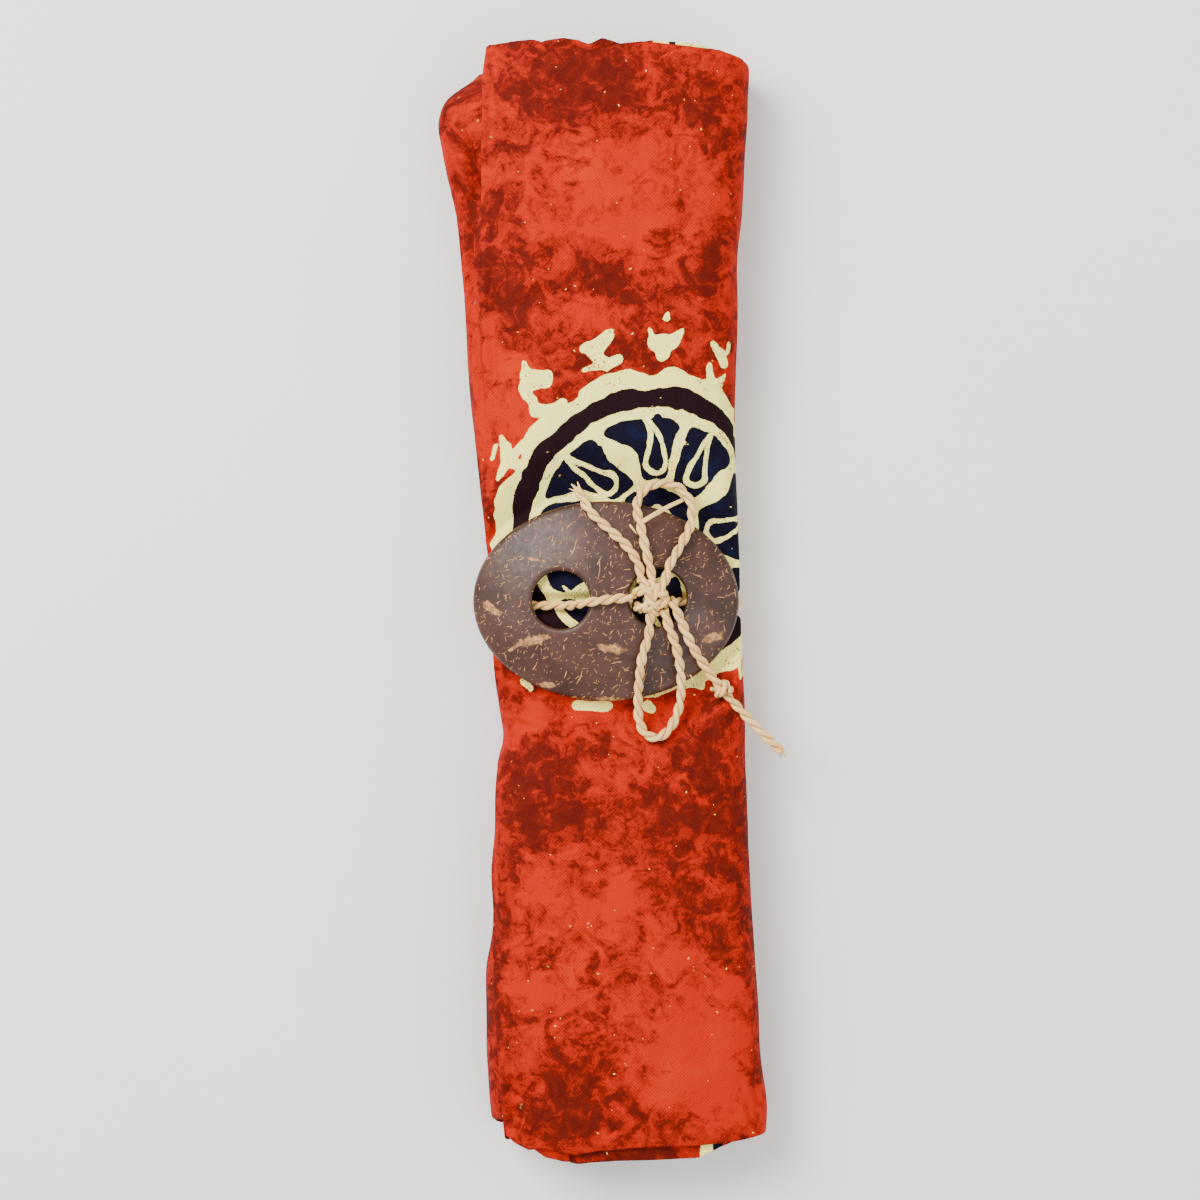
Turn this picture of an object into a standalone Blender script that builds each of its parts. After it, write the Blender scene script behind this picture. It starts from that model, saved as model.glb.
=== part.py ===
"""A batik sarong, folded in quarters and turned over and over into a flat bundle.

The bundle lies on z = 0 with its length along Y. It is tied across the middle with
an oval coconut-shell buckle on a palm cord in a bow. Units are metres, +Z up.

The cloth's skin is a closed section at each place along the bundle. A place on it is
given by its share of the way round, from the left side over the top to the right side
and back underneath, and by how deep it lies under the skin.
"""

import math

import bmesh
import bpy
import numpy as np

MM = 0.001

# Cloth: each turn is a wall of four plies, and each turn lies inside the one before
PLY = 0.3 * MM
PLIES = 4
WALL = PLY * PLIES
TURN_GAP = 0.4 * MM
PITCH = WALL + TURN_GAP

# Section of the bundle
SPINE_X = 3.0 * MM
RIGHT_ROUNDNESS = 3.2
FLOOR_SINK = 0.8 * MM
SECTION_COLUMNS = ("along", "left", "right", "thick", "roundness", "edge")
SECTION_ROWS_MM = (
    (-150.0, -28.5, 43.0, 22.5, 2.6, -24.0),
    (-141.0, -29.3, 43.3, 23.8, 2.6, -25.2),
    (-134.0, -30.2, 43.5, 24.8, 2.6, -26.4),
    (-123.0, -31.0, 42.1, 26.0, 2.6, -27.3),
    (-105.0, -31.4, 41.0, 26.8, 2.6, -28.3),
    (-98.0, -31.4, 40.5, 27.0, 2.6, -28.6),
    (-91.0, -30.3, 40.0, 27.0, 2.7, -28.8),
    (-84.0, -29.2, 39.5, 26.9, 2.8, -28.7),
    (-73.5, -29.7, 39.0, 26.8, 2.9, -29.2),
    (-61.0, -28.9, 38.5, 26.4, 3.0, -28.4),
    (-49.0, -28.7, 38.1, 25.9, 3.0, -28.2),
    (-43.0, -28.2, 37.8, 25.6, 3.0, -27.7),
    (-36.5, -26.7, 37.7, 25.3, 3.0, -26.2),
    (-30.0, -27.6, 37.6, 25.1, 3.0, -27.1),
    (-21.0, -29.0, 37.2, 25.1, 3.0, -28.5),
    (0.0, -29.9, 36.5, 25.2, 3.0, -29.4),
    (18.0, -31.5, 36.1, 25.4, 3.0, -31.0),
    (32.0, -33.1, 35.5, 25.7, 3.0, -32.5),
    (45.0, -34.4, 35.0, 26.1, 3.0, -33.4),
    (60.0, -36.0, 35.3, 26.6, 2.9, -33.9),
    (76.0, -37.0, 35.8, 26.9, 2.7, -33.8),
    (92.0, -38.1, 35.8, 27.0, 2.5, -33.2),
    (101.0, -39.1, 36.8, 26.9, 2.3, -32.6),
    (109.0, -40.9, 37.3, 26.8, 2.2, -32.0),
    (118.5, -42.8, 37.7, 26.4, 2.1, -31.6),
    (128.0, -43.6, 38.3, 25.9, 2.1, -31.3),
    (132.5, -41.8, 38.4, 25.5, 2.1, -31.4),
    (138.5, -34.5, 38.7, 24.8, 2.3, -31.6),
    (150.0, -31.0, 38.2, 23.0, 2.6, -30.4),
)
UPPER_LEFT_SHARE = 0.25
SECTION_POWER = 2.0
LEFT_FADE_START = 0.5
LEFT_FADE_SPAN = 0.4

# Soft hollows in the top, in millimetres; they fade out towards the underside
HOLLOW_COLUMNS = ("across", "along", "half_width", "half_length", "depth")
HOLLOW_ROWS_MM = (
    (-34.6, 107.0, 3.2, 8.0, 2.2),
    (-29.0, -37.0, 5.0, 6.0, 1.0),
    (14.0, 118.0, 14.0, 9.0, 0.7),
)
HOLLOW_FADE_START = 8.0 * MM
HOLLOW_FADE_SPAN = 8.0 * MM

# The underside is flat inside a four-cornered field with hollow sides and rises softly past it
REST_LEFT = -13.0 * MM
REST_RIGHT = 21.0 * MM
REST_HALF_LENGTH = 124.0 * MM
REST_HOLLOW = 10.0 * MM
REST_SLOPE = 0.06
REST_RISE = 0.5 * MM
REST_FADE = 7.0 * MM
FOOT_COLUMNS = ("row", "across", "along")
FOOT_ROWS_MM = (
    (-124.0, -12.5, -125.5),
    (-124.0, 20.5, -125.5),
    (126.0, -12.5, 127.5),
    (126.0, 20.5, 127.5),
)

# Ends of the turns, as seen from above: x and y of the folded edge, in millimetres
OUTER_FAR_MM = (
    (-31.0, 146.0), (-19.1, 146.6), (-16.8, 146.0), (-14.8, 144.2), (-9.9, 144.1), (-3.3, 143.7),
    (1.0, 144.1), (4.5, 145.4), (10.0, 146.0), (20.4, 145.0), (31.0, 143.9), (36.2, 142.3),
    (39.0, 140.0),
)
OUTER_NEAR_MM = (
    (-26.3, -137.4), (-25.6, -140.0), (-23.1, -142.4), (-19.6, -144.1), (-15.3, -143.4),
    (-11.2, -144.5), (-7.2, -145.0), (-0.7, -143.9), (9.9, -143.1), (25.7, -142.6), (36.2, -141.6), (43.0, -140.4),
)
SECOND_FAR_MM = (
    (-30.0, 144.6), (-19.0, 145.4), (-15.7, 146.5), (-11.2, 147.2), (-6.5, 146.5), (-3.8, 145.6),
    (-0.5, 147.3), (2.5, 146.4), (5.5, 145.3), (12.5, 146.6), (25.7, 145.7), (31.0, 144.0),
    (37.0, 141.0),
)
SECOND_NEAR_MM = (
    (-26.0, -141.0), (-21.7, -143.2), (-17.8, -145.0), (-13.8, -146.3), (-7.2, -147.6), (-0.7, -147.1),
    (12.5, -146.8), (25.7, -146.2), (31.5, -143.4), (41.0, -140.0),
)
# The same edges out of sight, by share of the way round: share, far end, near end
OUTER_BACK_MM = (
    (0.50, 140.0, -140.4), (0.62, 142.8, -142.0), (0.78, 144.4, -143.2), (0.90, 142.6, -140.4),
    (0.96, 139.6, -137.2), (1.02, 138.4, -136.3), (1.20, 138.4, -136.3),
)
SECOND_BACK_MM = (
    (0.50, 141.0, -140.0), (0.62, 143.8, -143.4), (0.78, 145.6, -144.6), (0.92, 144.2, -143.0),
    (1.20, 142.6, -141.0),
)
BACK_TABLE_END = 1.2
EDGE_FOLD = 0.45 * MM
STEP_LEAD = 0.03

# Where the grids of the turns have their rows and columns
OUTER_COLUMNS_ROUND = 48
OUTER_STOP = 52
SECOND_COLUMNS_ROUND = 40
SECOND_START = 44
SECOND_STOP = 78
OUTER_ROWS_MM = (
    -144.0, -140.0, -134.0, -124.0, -110.0, -97.0, -84.0, -70.0, -56.0, -45.0, -37.0, -31.0, -26.0,
    -21.0, -16.0, -10.5, -5.3, -3.8, -2.6, 0.4, 1.6, 3.1, 9.5, 16.0, 21.0, 26.0, 31.0, 38.0, 49.0,
    64.0, 80.0, 92.0, 101.0, 108.0, 117.0, 126.0, 132.0, 136.5, 141.0, 144.0,
)
SECOND_ROWS_MM = (
    -144.0, -139.0, -125.0, -98.0, -70.0, -46.0, -37.0, -31.0, -26.0, -19.0, -10.0, 0.0, 10.0, 19.0,
    26.0, 31.0, 38.0, 49.0, 66.0, 84.0, 101.0, 117.0, 132.0, 139.0, 144.0,
)
END_ZONE_START = 100.0 * MM
END_ZONE_STOP = 144.0 * MM

# The hidden turns: one solid, with steps at its ends where the inner layers show
CORE_DEPTH = 2.0 * PITCH + 1.2 * MM
CORE_STEP = 1.7 * MM
CORE_ROWS_MM = (
    -139.0, -98.0, -60.0, -38.0, -27.0, -13.0, 0.0, 13.0, 27.0, 38.0, 60.0, 98.0, 125.0, 139.0,
)
CORE_FAR_STEPS_MM = (143.6, 145.0, 143.2, 144.4)
CORE_NEAR_STEPS_MM = (-143.0, -144.8, -142.8, -144.0)
CORE_SIDES = 28
CORE_PRESS = 1.12
CORE_SQUEEZE = 1.25
LEFT_SQUEEZE = 0.8 * MM
LEFT_SQUEEZE_START = 1.86
LEFT_SQUEEZE_SPAN = 0.08
CORE_LEFT_SQUEEZE = 0.8 * MM
CORE_SIDE_SQUEEZE = 4.8 * MM
LAYER_CLEARANCE = 0.4 * MM

# The buckle: a piece of coconut shell, so its dome is part of a sphere
SHELL_X = 0.9 * MM
SHELL_Y = -0.3 * MM
SHELL_HALF_LENGTH = 35.0 * MM
SHELL_HALF_WIDTH = 26.2 * MM
SHELL_RADIUS = 72.0 * MM
SHELL_THICKNESS = 3.2 * MM
SHELL_UNDERSIDE_Z = 25.9 * MM
SHELL_RIM_ROUNDING = 0.8 * MM
SHELL_SIDES = 40
SHELL_RINGS = (0.25, 0.5, 0.75, 0.9)
SHELL_REACH = 0.9 * SHELL_RADIUS
CUTTER_LENGTH = 26.0 * MM
SHARP_ANGLE = math.radians(40.0)
HOLE_RADIUS = 7.6 * MM
HOLE_SIDES = 24
HOLE_LEFT = (-10.9 * MM, 0.0 * MM)
HOLE_RIGHT = (14.4 * MM, 0.6 * MM)
PRESS_CLEARANCE = 0.5 * MM
PRESS_SOFTNESS = 0.4 * MM
PRESS_RISE = 0.55
PRESS_MARGIN = 2.5 * MM

# The tie: a cord in a groove that it presses round the cloth
CORD_DIAMETER = 2.3 * MM
CORD_RADIUS = CORD_DIAMETER / 2.0
TIE_Y = -1.1 * MM
GROOVE_DEPTH = 3.1 * MM
GROOVE_HALF_WIDTH = 2.7 * MM
SQUEEZE_HALF_WIDTH = 42.0 * MM
TURN_SQUEEZE = 2.4 * MM
TIE_SQUEEZE_DEPTH = 1.4 * MM
TIE_SQUEEZE_HALF_WIDTH = 9.0 * MM
CORD_SPACING = 1.6 * CORD_DIAMETER
CURVE_STEPS = 400

# Routes of the cord, as x, y and z of its middle in millimetres. The band goes from the
# knot over the bridge, down the left hole, round the bundle and up the right hole.
BAND_ROUTE_MM = (
    (7.7, 0.5, 30.5), (4.0, 0.4, 30.8), (0.5, 0.0, 30.9), (-2.4, -0.4, 30.8), (-4.7, -0.8, 30.1),
    (-6.4, -1.1, 28.4), (-8.0, -1.4, 26.2), (-10.5, -1.5, 24.1), (-13.6, -1.5, 22.7),
    (-18.7, -1.4, 21.5), (-23.4, -1.3, 20.1), (-25.9, -1.2, 19.0), (-27.8, -1.2, 17.3),
    (-28.4, -1.1, 12.6), (-28.5, -1.1, 8.4), (-27.2, -1.1, 5.6), (-24.8, -1.1, 4.0),
    (-20.0, -1.1, 2.3), (-15.0, -1.1, 1.3), (-8.0, -1.1, 1.3), (0.0, -1.1, 1.3), (8.0, -1.1, 1.3),
    (15.0, -1.1, 1.3), (20.0, -1.1, 1.3), (24.6, -1.0, 1.5), (29.8, -1.0, 2.8), (34.2, -0.9, 5.8),
    (35.5, -0.9, 9.5), (35.6, -0.9, 12.6), (35.1, -0.9, 15.2), (33.0, -0.8, 16.6),
    (30.0, -0.8, 18.0), (25.7, -0.7, 19.8), (22.4, -0.6, 20.8), (20.5, -0.5, 21.6),
    (18.8, -0.3, 23.7), (17.5, 0.0, 26.6),
)
LOOP_UPPER_ROUTE_MM = (
    (13.1, 4.9, 29.3), (12.3, 8.6, 29.4), (11.0, 14.0, 28.9), (9.8, 19.8, 27.7), (8.9, 25.0, 26.1),
    (11.0, 29.0, 24.7), (15.0, 30.6, 23.9), (19.4, 29.8, 23.7), (22.9, 25.8, 24.0), (23.1, 20.3, 24.9),
    (20.2, 14.0, 27.0), (17.2, 8.6, 28.9), (16.1, 4.2, 29.3),
)
LOOP_LOWER_ROUTE_MM = (
    (12.4, -3.5, 29.2), (12.0, -9.0, 29.5), (10.4, -14.5, 28.9), (9.6, -20.3, 27.7), (9.3, -26.1, 26.1),
    (9.6, -31.6, 25.4), (11.2, -35.0, 25.6), (14.4, -36.0, 26.0), (17.6, -33.5, 25.4),
    (19.8, -28.7, 25.0), (20.5, -20.3, 25.9), (19.0, -11.6, 27.9), (17.0, -6.2, 28.8), (15.9, -2.6, 29.0),
)
TAIL_UPPER_ROUTE_MM = (
    (10.2, 4.7, 29.4), (9.2, 9.5, 29.7), (6.3, 14.0, 29.4), (2.0, 18.1, 28.5), (-3.3, 23.2, 26.9),
    (-6.7, 29.0, 23.4),
)
TAIL_LOWER_ROUTE_MM = (
    (18.2, -0.3, 29.7), (20.0, -4.4, 28.5), (23.2, -11.6, 26.8), (27.2, -17.9, 24.7),
    (31.6, -23.7, 22.9), (36.8, -29.5, 21.6), (42.6, -35.6, 20.5), (47.1, -39.8, 19.6),
)
KNOT_CENTRE = (12.6 * MM, 0.7 * MM, 28.6 * MM)
KNOT_HALF_SIZE = (4.6 * MM, 3.6 * MM, 3.2 * MM)
KNOT_SEGMENTS = 16
KNOT_RINGS = 10

# Fine table of sections that every layer is read from
TABLE_ALONG = np.linspace(-0.150, 0.150, 241)
TABLE_STEP = TABLE_ALONG[1] - TABLE_ALONG[0]
TABLE_SHARE = np.linspace(0.0, 1.0, 193)
SECTION_STEPS = 720


def smooth_step(value):
    """Rises from 0 to 1 with level ends, for values from 0 to 1."""
    value = np.clip(value, 0.0, 1.0)
    return value * value * (3.0 - 2.0 * value)


def smooth_curve(value, knots, heights):
    """A curve through the knots, one cubic to each gap, its slopes taken from the neighbours."""
    knots = np.asarray(knots, dtype=float)
    heights = np.asarray(heights, dtype=float)
    slopes = np.gradient(heights, knots, axis=0)
    value = np.clip(value, knots[0], knots[-1])
    gap = np.clip(np.searchsorted(knots, value, side="right") - 1, 0, len(knots) - 2)
    width = knots[gap + 1] - knots[gap]
    t = (value - knots[gap]) / width
    first = (1.0 + 2.0 * t) * (1.0 - t) ** 2 * heights[gap]
    first += t * (1.0 - t) ** 2 * width * slopes[gap]
    second = t * t * (3.0 - 2.0 * t) * heights[gap + 1]
    second -= t * t * (1.0 - t) * width * slopes[gap + 1]
    return first + second


def station(column, along):
    """A column of the section table at places along the bundle, in metres or as a plain number."""
    rows = np.array(SECTION_ROWS_MM)
    scale = 1.0 if column == "roundness" else MM
    return smooth_curve(along, rows[:, 0] * MM, rows[:, SECTION_COLUMNS.index(column)] * scale)


def shell_underside(x, y):
    """Height of the buckle's inner face over a place in plan."""
    reach = np.clip((x - SHELL_X) ** 2 + (y - SHELL_Y) ** 2, 0.0, SHELL_REACH ** 2)
    return SHELL_UNDERSIDE_Z - SHELL_RADIUS + np.sqrt(SHELL_RADIUS ** 2 - reach)


def press_limit(x, y):
    """Highest the cloth may stand: just under the buckle, and rising from its rim outwards."""
    dx = x - SHELL_X
    dy = y - SHELL_Y
    half_length = SHELL_HALF_LENGTH + PRESS_MARGIN
    half_width = SHELL_HALF_WIDTH + PRESS_MARGIN
    reach = np.maximum(np.hypot(dx / half_length, dy / half_width), 1.0)
    rim = shell_underside(SHELL_X + dx / reach, SHELL_Y + dy / reach)
    return rim - PRESS_CLEARANCE + PRESS_RISE * (reach - 1.0) * half_width


def lower_of(first, second):
    """The lower of two heights, with the corner between them rounded off."""
    softness = PRESS_SOFTNESS
    least = np.minimum(first, second)
    spread = np.exp((least - first) / softness) + np.exp((least - second) / softness)
    return least - softness * np.log(spread)


def rest_rise(x, y):
    """How far the underside is off the floor: a little, growing outwards from its flat field."""
    inset = REST_HOLLOW * (1.0 - np.clip(y / REST_HALF_LENGTH, -1.0, 1.0) ** 2)
    beside = np.maximum(REST_LEFT + inset - x, x - REST_RIGHT + inset)
    outside = np.hypot(np.maximum(beside, 0.0), np.maximum(np.abs(y) - REST_HALF_LENGTH, 0.0))
    return REST_RISE * (1.0 - np.exp(-outside * REST_SLOPE / REST_RISE))


def section_point(along, angle, shrink=0.0, left_shrink=0.0, side_shrink=0.0):
    """x and z of the section at an angle, 180 degrees at the left side and 90 at the top."""
    cosine = np.cos(angle)
    sine = np.sin(angle)
    on_left = cosine < 0.0
    width_left = SPINE_X - station("left", along) - shrink - left_shrink - side_shrink
    width_right = station("right", along) - SPINE_X - shrink - side_shrink
    width = np.where(on_left, width_left, width_right)
    roundness = np.where(on_left, station("roundness", along), RIGHT_ROUNDNESS)
    half_height = (station("thick", along) + FLOOR_SINK) / 2.0
    x = SPINE_X + width * np.sign(cosine) * np.abs(cosine) ** (SECTION_POWER / roundness)
    swing = np.sign(sine) * np.abs(sine) ** (SECTION_POWER / roundness)
    fade = smooth_step((np.abs(cosine) - LEFT_FADE_START) / LEFT_FADE_SPAN)
    layers = shrink + np.where(on_left, left_shrink * fade, 0.0)
    z = half_height - FLOOR_SINK + (half_height - layers) * swing
    pressed = lower_of(z, press_limit(x, along) - CORE_PRESS * shrink)
    rested = np.maximum(z, layers)
    rested = rested + rest_rise(x, along) * smooth_step(1.0 - (rested - layers) / REST_FADE)
    return x, np.where(sine > 0.0, pressed, rested)


def make_skin():
    """The table of sections: x, z and the outward direction at equal steps of length round each."""
    angle = np.linspace(math.pi, -math.pi, SECTION_STEPS + 1)
    skin = {name: [] for name in ("x", "z", "out_x", "out_z", "edge")}
    for along in TABLE_ALONG:
        x, z = section_point(np.full_like(angle, along), angle)
        steps = np.hypot(np.diff(x), np.diff(z))
        share = np.concatenate(([0.0], np.cumsum(steps))) / steps.sum()
        even_x = np.interp(TABLE_SHARE, share, x)
        even_z = np.interp(TABLE_SHARE, share, z)
        run_x = np.roll(even_x[:-1], -1) - np.roll(even_x[:-1], 1)
        run_z = np.roll(even_z[:-1], -1) - np.roll(even_z[:-1], 1)
        length = np.hypot(run_x, run_z)
        skin["x"].append(even_x)
        skin["z"].append(even_z)
        skin["out_x"].append(np.append(-run_z / length, -run_z[0] / length[0]))
        skin["out_z"].append(np.append(run_x / length, run_x[0] / length[0]))
        upper_left = TABLE_SHARE < UPPER_LEFT_SHARE
        edge = np.interp(station("edge", along), even_x[upper_left], TABLE_SHARE[upper_left])
        skin["edge"].append(edge)
    return {name: np.array(values) for name, values in skin.items()}


SKIN = make_skin()


def read_skin(name, share, along):
    """A value of the skin table between its places, by straight lines both ways."""
    row = (np.clip(along, TABLE_ALONG[0], TABLE_ALONG[-1]) - TABLE_ALONG[0]) / TABLE_STEP
    column = np.mod(share, 1.0) * (len(TABLE_SHARE) - 1)
    row_low = np.clip(row.astype(int), 0, len(TABLE_ALONG) - 2)
    column_low = np.clip(column.astype(int), 0, len(TABLE_SHARE) - 2)
    table = SKIN[name]
    t = column - column_low
    low = table[row_low, column_low] * (1.0 - t) + table[row_low, column_low + 1] * t
    high = table[row_low + 1, column_low] * (1.0 - t) + table[row_low + 1, column_low + 1] * t
    return low + (high - low) * (row - row_low)


def edge_share(along):
    """Share of the way round at which the last flap's free edge lies."""
    return np.interp(along, TABLE_ALONG, SKIN["edge"])


def turn_depth(count, along):
    """Depth of a turn's outer face: it steps down one pitch on the left side in each turn."""
    edge = edge_share(along)
    start = 1.0 - STEP_LEAD - edge
    first = smooth_step((count - start) / (STEP_LEAD + edge))
    second = smooth_step((count - 1.0 - start) / (STEP_LEAD + edge))
    return PITCH * (first + second)


def hollow_depth(x, y):
    """Depth of the soft hollows at a place in plan, each a round-edged dimple."""
    total = np.zeros_like(x)
    for row in np.array(HOLLOW_ROWS_MM) * MM:
        hollow = dict(zip(HOLLOW_COLUMNS, row))
        across = (x - hollow["across"]) / hollow["half_width"]
        along = (y - hollow["along"]) / hollow["half_length"]
        total += hollow["depth"] * np.exp(-across ** 2 - along ** 2)
    return total


def groove_depth(along, depth, half_width):
    """Depth of a groove that the cord presses, flat at its middle."""
    return depth * np.exp(-((along - TIE_Y) / half_width) ** 4)


def squeeze_depth(along):
    """How much further in the hidden layers lie where the buckle and the tie press."""
    wide = TURN_SQUEEZE * np.exp(-(along / SQUEEZE_HALF_WIDTH) ** 2)
    return wide + groove_depth(along, TIE_SQUEEZE_DEPTH, TIE_SQUEEZE_HALF_WIDTH)


def layer_point(share, along, depth):
    """Points of a layer: the skin's points, moved inwards by the layer's depth."""
    x = read_skin("x", share, along)
    z = read_skin("z", share, along)
    on_top = smooth_step((z - HOLLOW_FADE_START) / HOLLOW_FADE_SPAN)
    inward = depth + on_top * hollow_depth(x, along)
    x = x - read_skin("out_x", share, along) * inward
    z = z - read_skin("out_z", share, along) * inward
    return np.stack((x, along, z), axis=-1)


def end_lines(share, x_far, x_near, far_mm, near_mm, back_mm):
    """y of a turn's folded edges at both ends: by x where they show, by share behind."""
    wrapped = np.where(share > BACK_TABLE_END, share - 1.0, share)
    back = np.array(back_mm)
    far_top = np.interp(x_far, *(np.array(far_mm).T * MM))
    near_top = np.interp(x_near, *(np.array(near_mm).T * MM))
    behind = wrapped > 0.5
    far = np.where(behind, np.interp(wrapped, back[:, 0], back[:, 1] * MM), far_top)
    near = np.where(behind, np.interp(wrapped, back[:, 0], back[:, 2] * MM), near_top)
    return far, near


def turn_places(counts, rows_mm, far_mm, near_mm, back_mm):
    """Count, place along and share for a turn's grid, its end rows drawn to the folded edges."""
    reach = np.full_like(counts, END_ZONE_STOP)
    far_share = counts + edge_share(reach)
    near_share = counts + edge_share(-reach)
    x_far = read_skin("x", far_share, reach)
    x_near = read_skin("x", near_share, -reach)
    far, near = end_lines(far_share, x_far, x_near, far_mm, near_mm, back_mm)
    rows = np.array(rows_mm)[:, None] * MM
    stretch = smooth_step((np.abs(rows) - END_ZONE_START) / (END_ZONE_STOP - END_ZONE_START))
    change = np.where(rows > 0.0, far - END_ZONE_STOP, near + END_ZONE_STOP)
    along = rows + stretch * change
    count = np.broadcast_to(counts, along.shape)
    return count, along, count + edge_share(along)


def wall_mesh(name, outer, inner):
    """A closed wall between two grids of points, its four edges folded round.

    The rim between the grids bulges outwards by EDGE_FOLD, as the fold of the cloth does.
    """
    rows, columns = outer.shape[:2]
    rim = [(0, j) for j in range(columns - 1)] + [(i, columns - 1) for i in range(rows - 1)]
    rim += [(rows - 1, j) for j in range(columns - 1, 0, -1)] + [(i, 0) for i in range(rows - 1, 0, -1)]
    mesh = bmesh.new()
    outer_verts = [[mesh.verts.new(point) for point in row] for row in outer]
    inner_verts = [[mesh.verts.new(point) for point in row] for row in inner]
    middle = []
    for i, j in rim:
        centre = (outer[i, j] + inner[i, j]) / 2.0
        row = min(max(i, 1), rows - 2)
        column = min(max(j, 1), columns - 2)
        outward = centre - (outer[row, column] + inner[row, column]) / 2.0
        outward /= np.linalg.norm(outward)
        middle.append(mesh.verts.new(centre + outward * EDGE_FOLD))
    for i in range(rows - 1):
        for j in range(columns - 1):
            corners = ((i, j), (i + 1, j), (i + 1, j + 1), (i, j + 1))
            mesh.faces.new([outer_verts[row][column] for row, column in corners])
            mesh.faces.new([inner_verts[row][column] for row, column in corners[::-1]])
    for k, (i, j) in enumerate(rim):
        next_k = (k + 1) % len(rim)
        next_i, next_j = rim[next_k]
        mesh.faces.new((outer_verts[i][j], outer_verts[next_i][next_j], middle[next_k], middle[k]))
        mesh.faces.new((middle[k], middle[next_k], inner_verts[next_i][next_j], inner_verts[i][j]))
    return finish_mesh(name, mesh)


def finish_mesh(name, mesh):
    """Turns the faces outwards, triangulates and makes the object."""
    bmesh.ops.triangulate(mesh, faces=mesh.faces[:])
    bmesh.ops.recalc_face_normals(mesh, faces=mesh.faces[:])
    data = bpy.data.meshes.new(name)
    mesh.to_mesh(data)
    mesh.free()
    data.shade_smooth()
    data.set_sharp_from_angle(angle=SHARP_ANGLE)
    piece = bpy.data.objects.new(name, data)
    parts.objects.link(piece)
    piece.parent = bundle
    return piece


def make_material(name, colour, roughness):
    """A plain material with the piece's colour."""
    material = bpy.data.materials.new(name)
    material.use_nodes = True
    surface = material.node_tree.nodes["Principled BSDF"]
    surface.inputs["Base Color"].default_value = (*colour, 1.0)
    surface.inputs["Roughness"].default_value = roughness
    surface.inputs["Metallic"].default_value = 0.0
    return material


def place_feet(outer, inner):
    """Moves four points of the underside to the corners that the bundle stands on."""
    columns = np.arange(outer.shape[1])
    behind = (columns > OUTER_COLUMNS_ROUND // 2) & (columns < OUTER_COLUMNS_ROUND)
    for values in FOOT_ROWS_MM:
        foot = dict(zip(FOOT_COLUMNS, values))
        row = OUTER_ROWS_MM.index(foot["row"])
        across = foot["across"] * MM
        along = foot["along"] * MM
        column = int(np.argmin(np.where(behind, np.abs(outer[row, :, 0] - across), np.inf)))
        outer[row, column] = (across, along, 0.0)
        inner[row, column] = (across, along, WALL)


def make_outer_turn():
    """The last turn, from the flap's free edge all round to its tuck under the flap."""
    counts = np.arange(OUTER_STOP + 1) / OUTER_COLUMNS_ROUND
    ends = (OUTER_FAR_MM, OUTER_NEAR_MM, OUTER_BACK_MM)
    count, along, share = turn_places(counts, OUTER_ROWS_MM, *ends)
    depth = turn_depth(count, along) + groove_depth(along, GROOVE_DEPTH, GROOVE_HALF_WIDTH)
    outer = layer_point(share, along, depth)
    inner = layer_point(share, along, depth + WALL)
    place_feet(outer, inner)
    return wall_mesh("outer_turn", outer, inner)


def make_second_turn():
    """The turn below, squeezed further in where the tie and the buckle press."""
    counts = np.arange(SECOND_START, SECOND_STOP + 1) / SECOND_COLUMNS_ROUND
    ends = (SECOND_FAR_MM, SECOND_NEAR_MM, SECOND_BACK_MM)
    count, along, share = turn_places(counts, SECOND_ROWS_MM, *ends)
    left_side = LEFT_SQUEEZE * smooth_step((count - LEFT_SQUEEZE_START) / LEFT_SQUEEZE_SPAN)
    depth = turn_depth(count, along) + squeeze_depth(along) + left_side + LAYER_CLEARANCE
    outer = layer_point(share, along, depth)
    inner = layer_point(share, along, depth + WALL)
    return wall_mesh("second_turn", outer, inner)


def make_folded_core():
    """The hidden turns as one loft, its ends stepped in and out where groups of layers show."""
    angle = np.linspace(math.pi, -math.pi, CORE_SIDES + 1)[:-1]
    rings = [(row * MM, 0.0) for row in CORE_ROWS_MM]
    for steps in (CORE_FAR_STEPS_MM, CORE_NEAR_STEPS_MM):
        ends = []
        for level, place in enumerate(steps):
            ends += [(place * MM, level * CORE_STEP), (place * MM, (level + 1) * CORE_STEP)]
        rings = rings + ends if place > 0.0 else ends[::-1] + rings
    mesh = bmesh.new()
    loops = []
    for along, step in rings:
        shrink = CORE_DEPTH + squeeze_depth(along) * CORE_SQUEEZE + step
        left_shrink = PITCH + LEFT_SQUEEZE + CORE_LEFT_SQUEEZE
        side_shrink = CORE_SIDE_SQUEEZE * math.exp(-(along / SQUEEZE_HALF_WIDTH) ** 4)
        x, z = section_point(np.full_like(angle, along), angle, shrink, left_shrink, side_shrink)
        loops.append([mesh.verts.new((a, along, b)) for a, b in zip(x, z)])
    for first, second in zip(loops, loops[1:]):
        for k in range(CORE_SIDES):
            following = (k + 1) % CORE_SIDES
            mesh.faces.new((first[k], first[following], second[following], second[k]))
    mesh.faces.new(loops[0])
    mesh.faces.new(loops[-1])
    return finish_mesh("folded_core", mesh)


def add_hole_cutter(name, place):
    """A cylinder that cuts one of the buckle's holes."""
    bpy.ops.mesh.primitive_cylinder_add(
        vertices=HOLE_SIDES, radius=HOLE_RADIUS, depth=CUTTER_LENGTH,
        location=(place[0], place[1], SHELL_UNDERSIDE_Z),
    )
    cutter = bpy.context.object
    cutter.name = name
    cutter.hide_render = True
    cutter.display_type = "WIRE"
    for collection in cutter.users_collection:
        collection.objects.unlink(cutter)
    cutters.objects.link(cutter)
    return cutter


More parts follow.
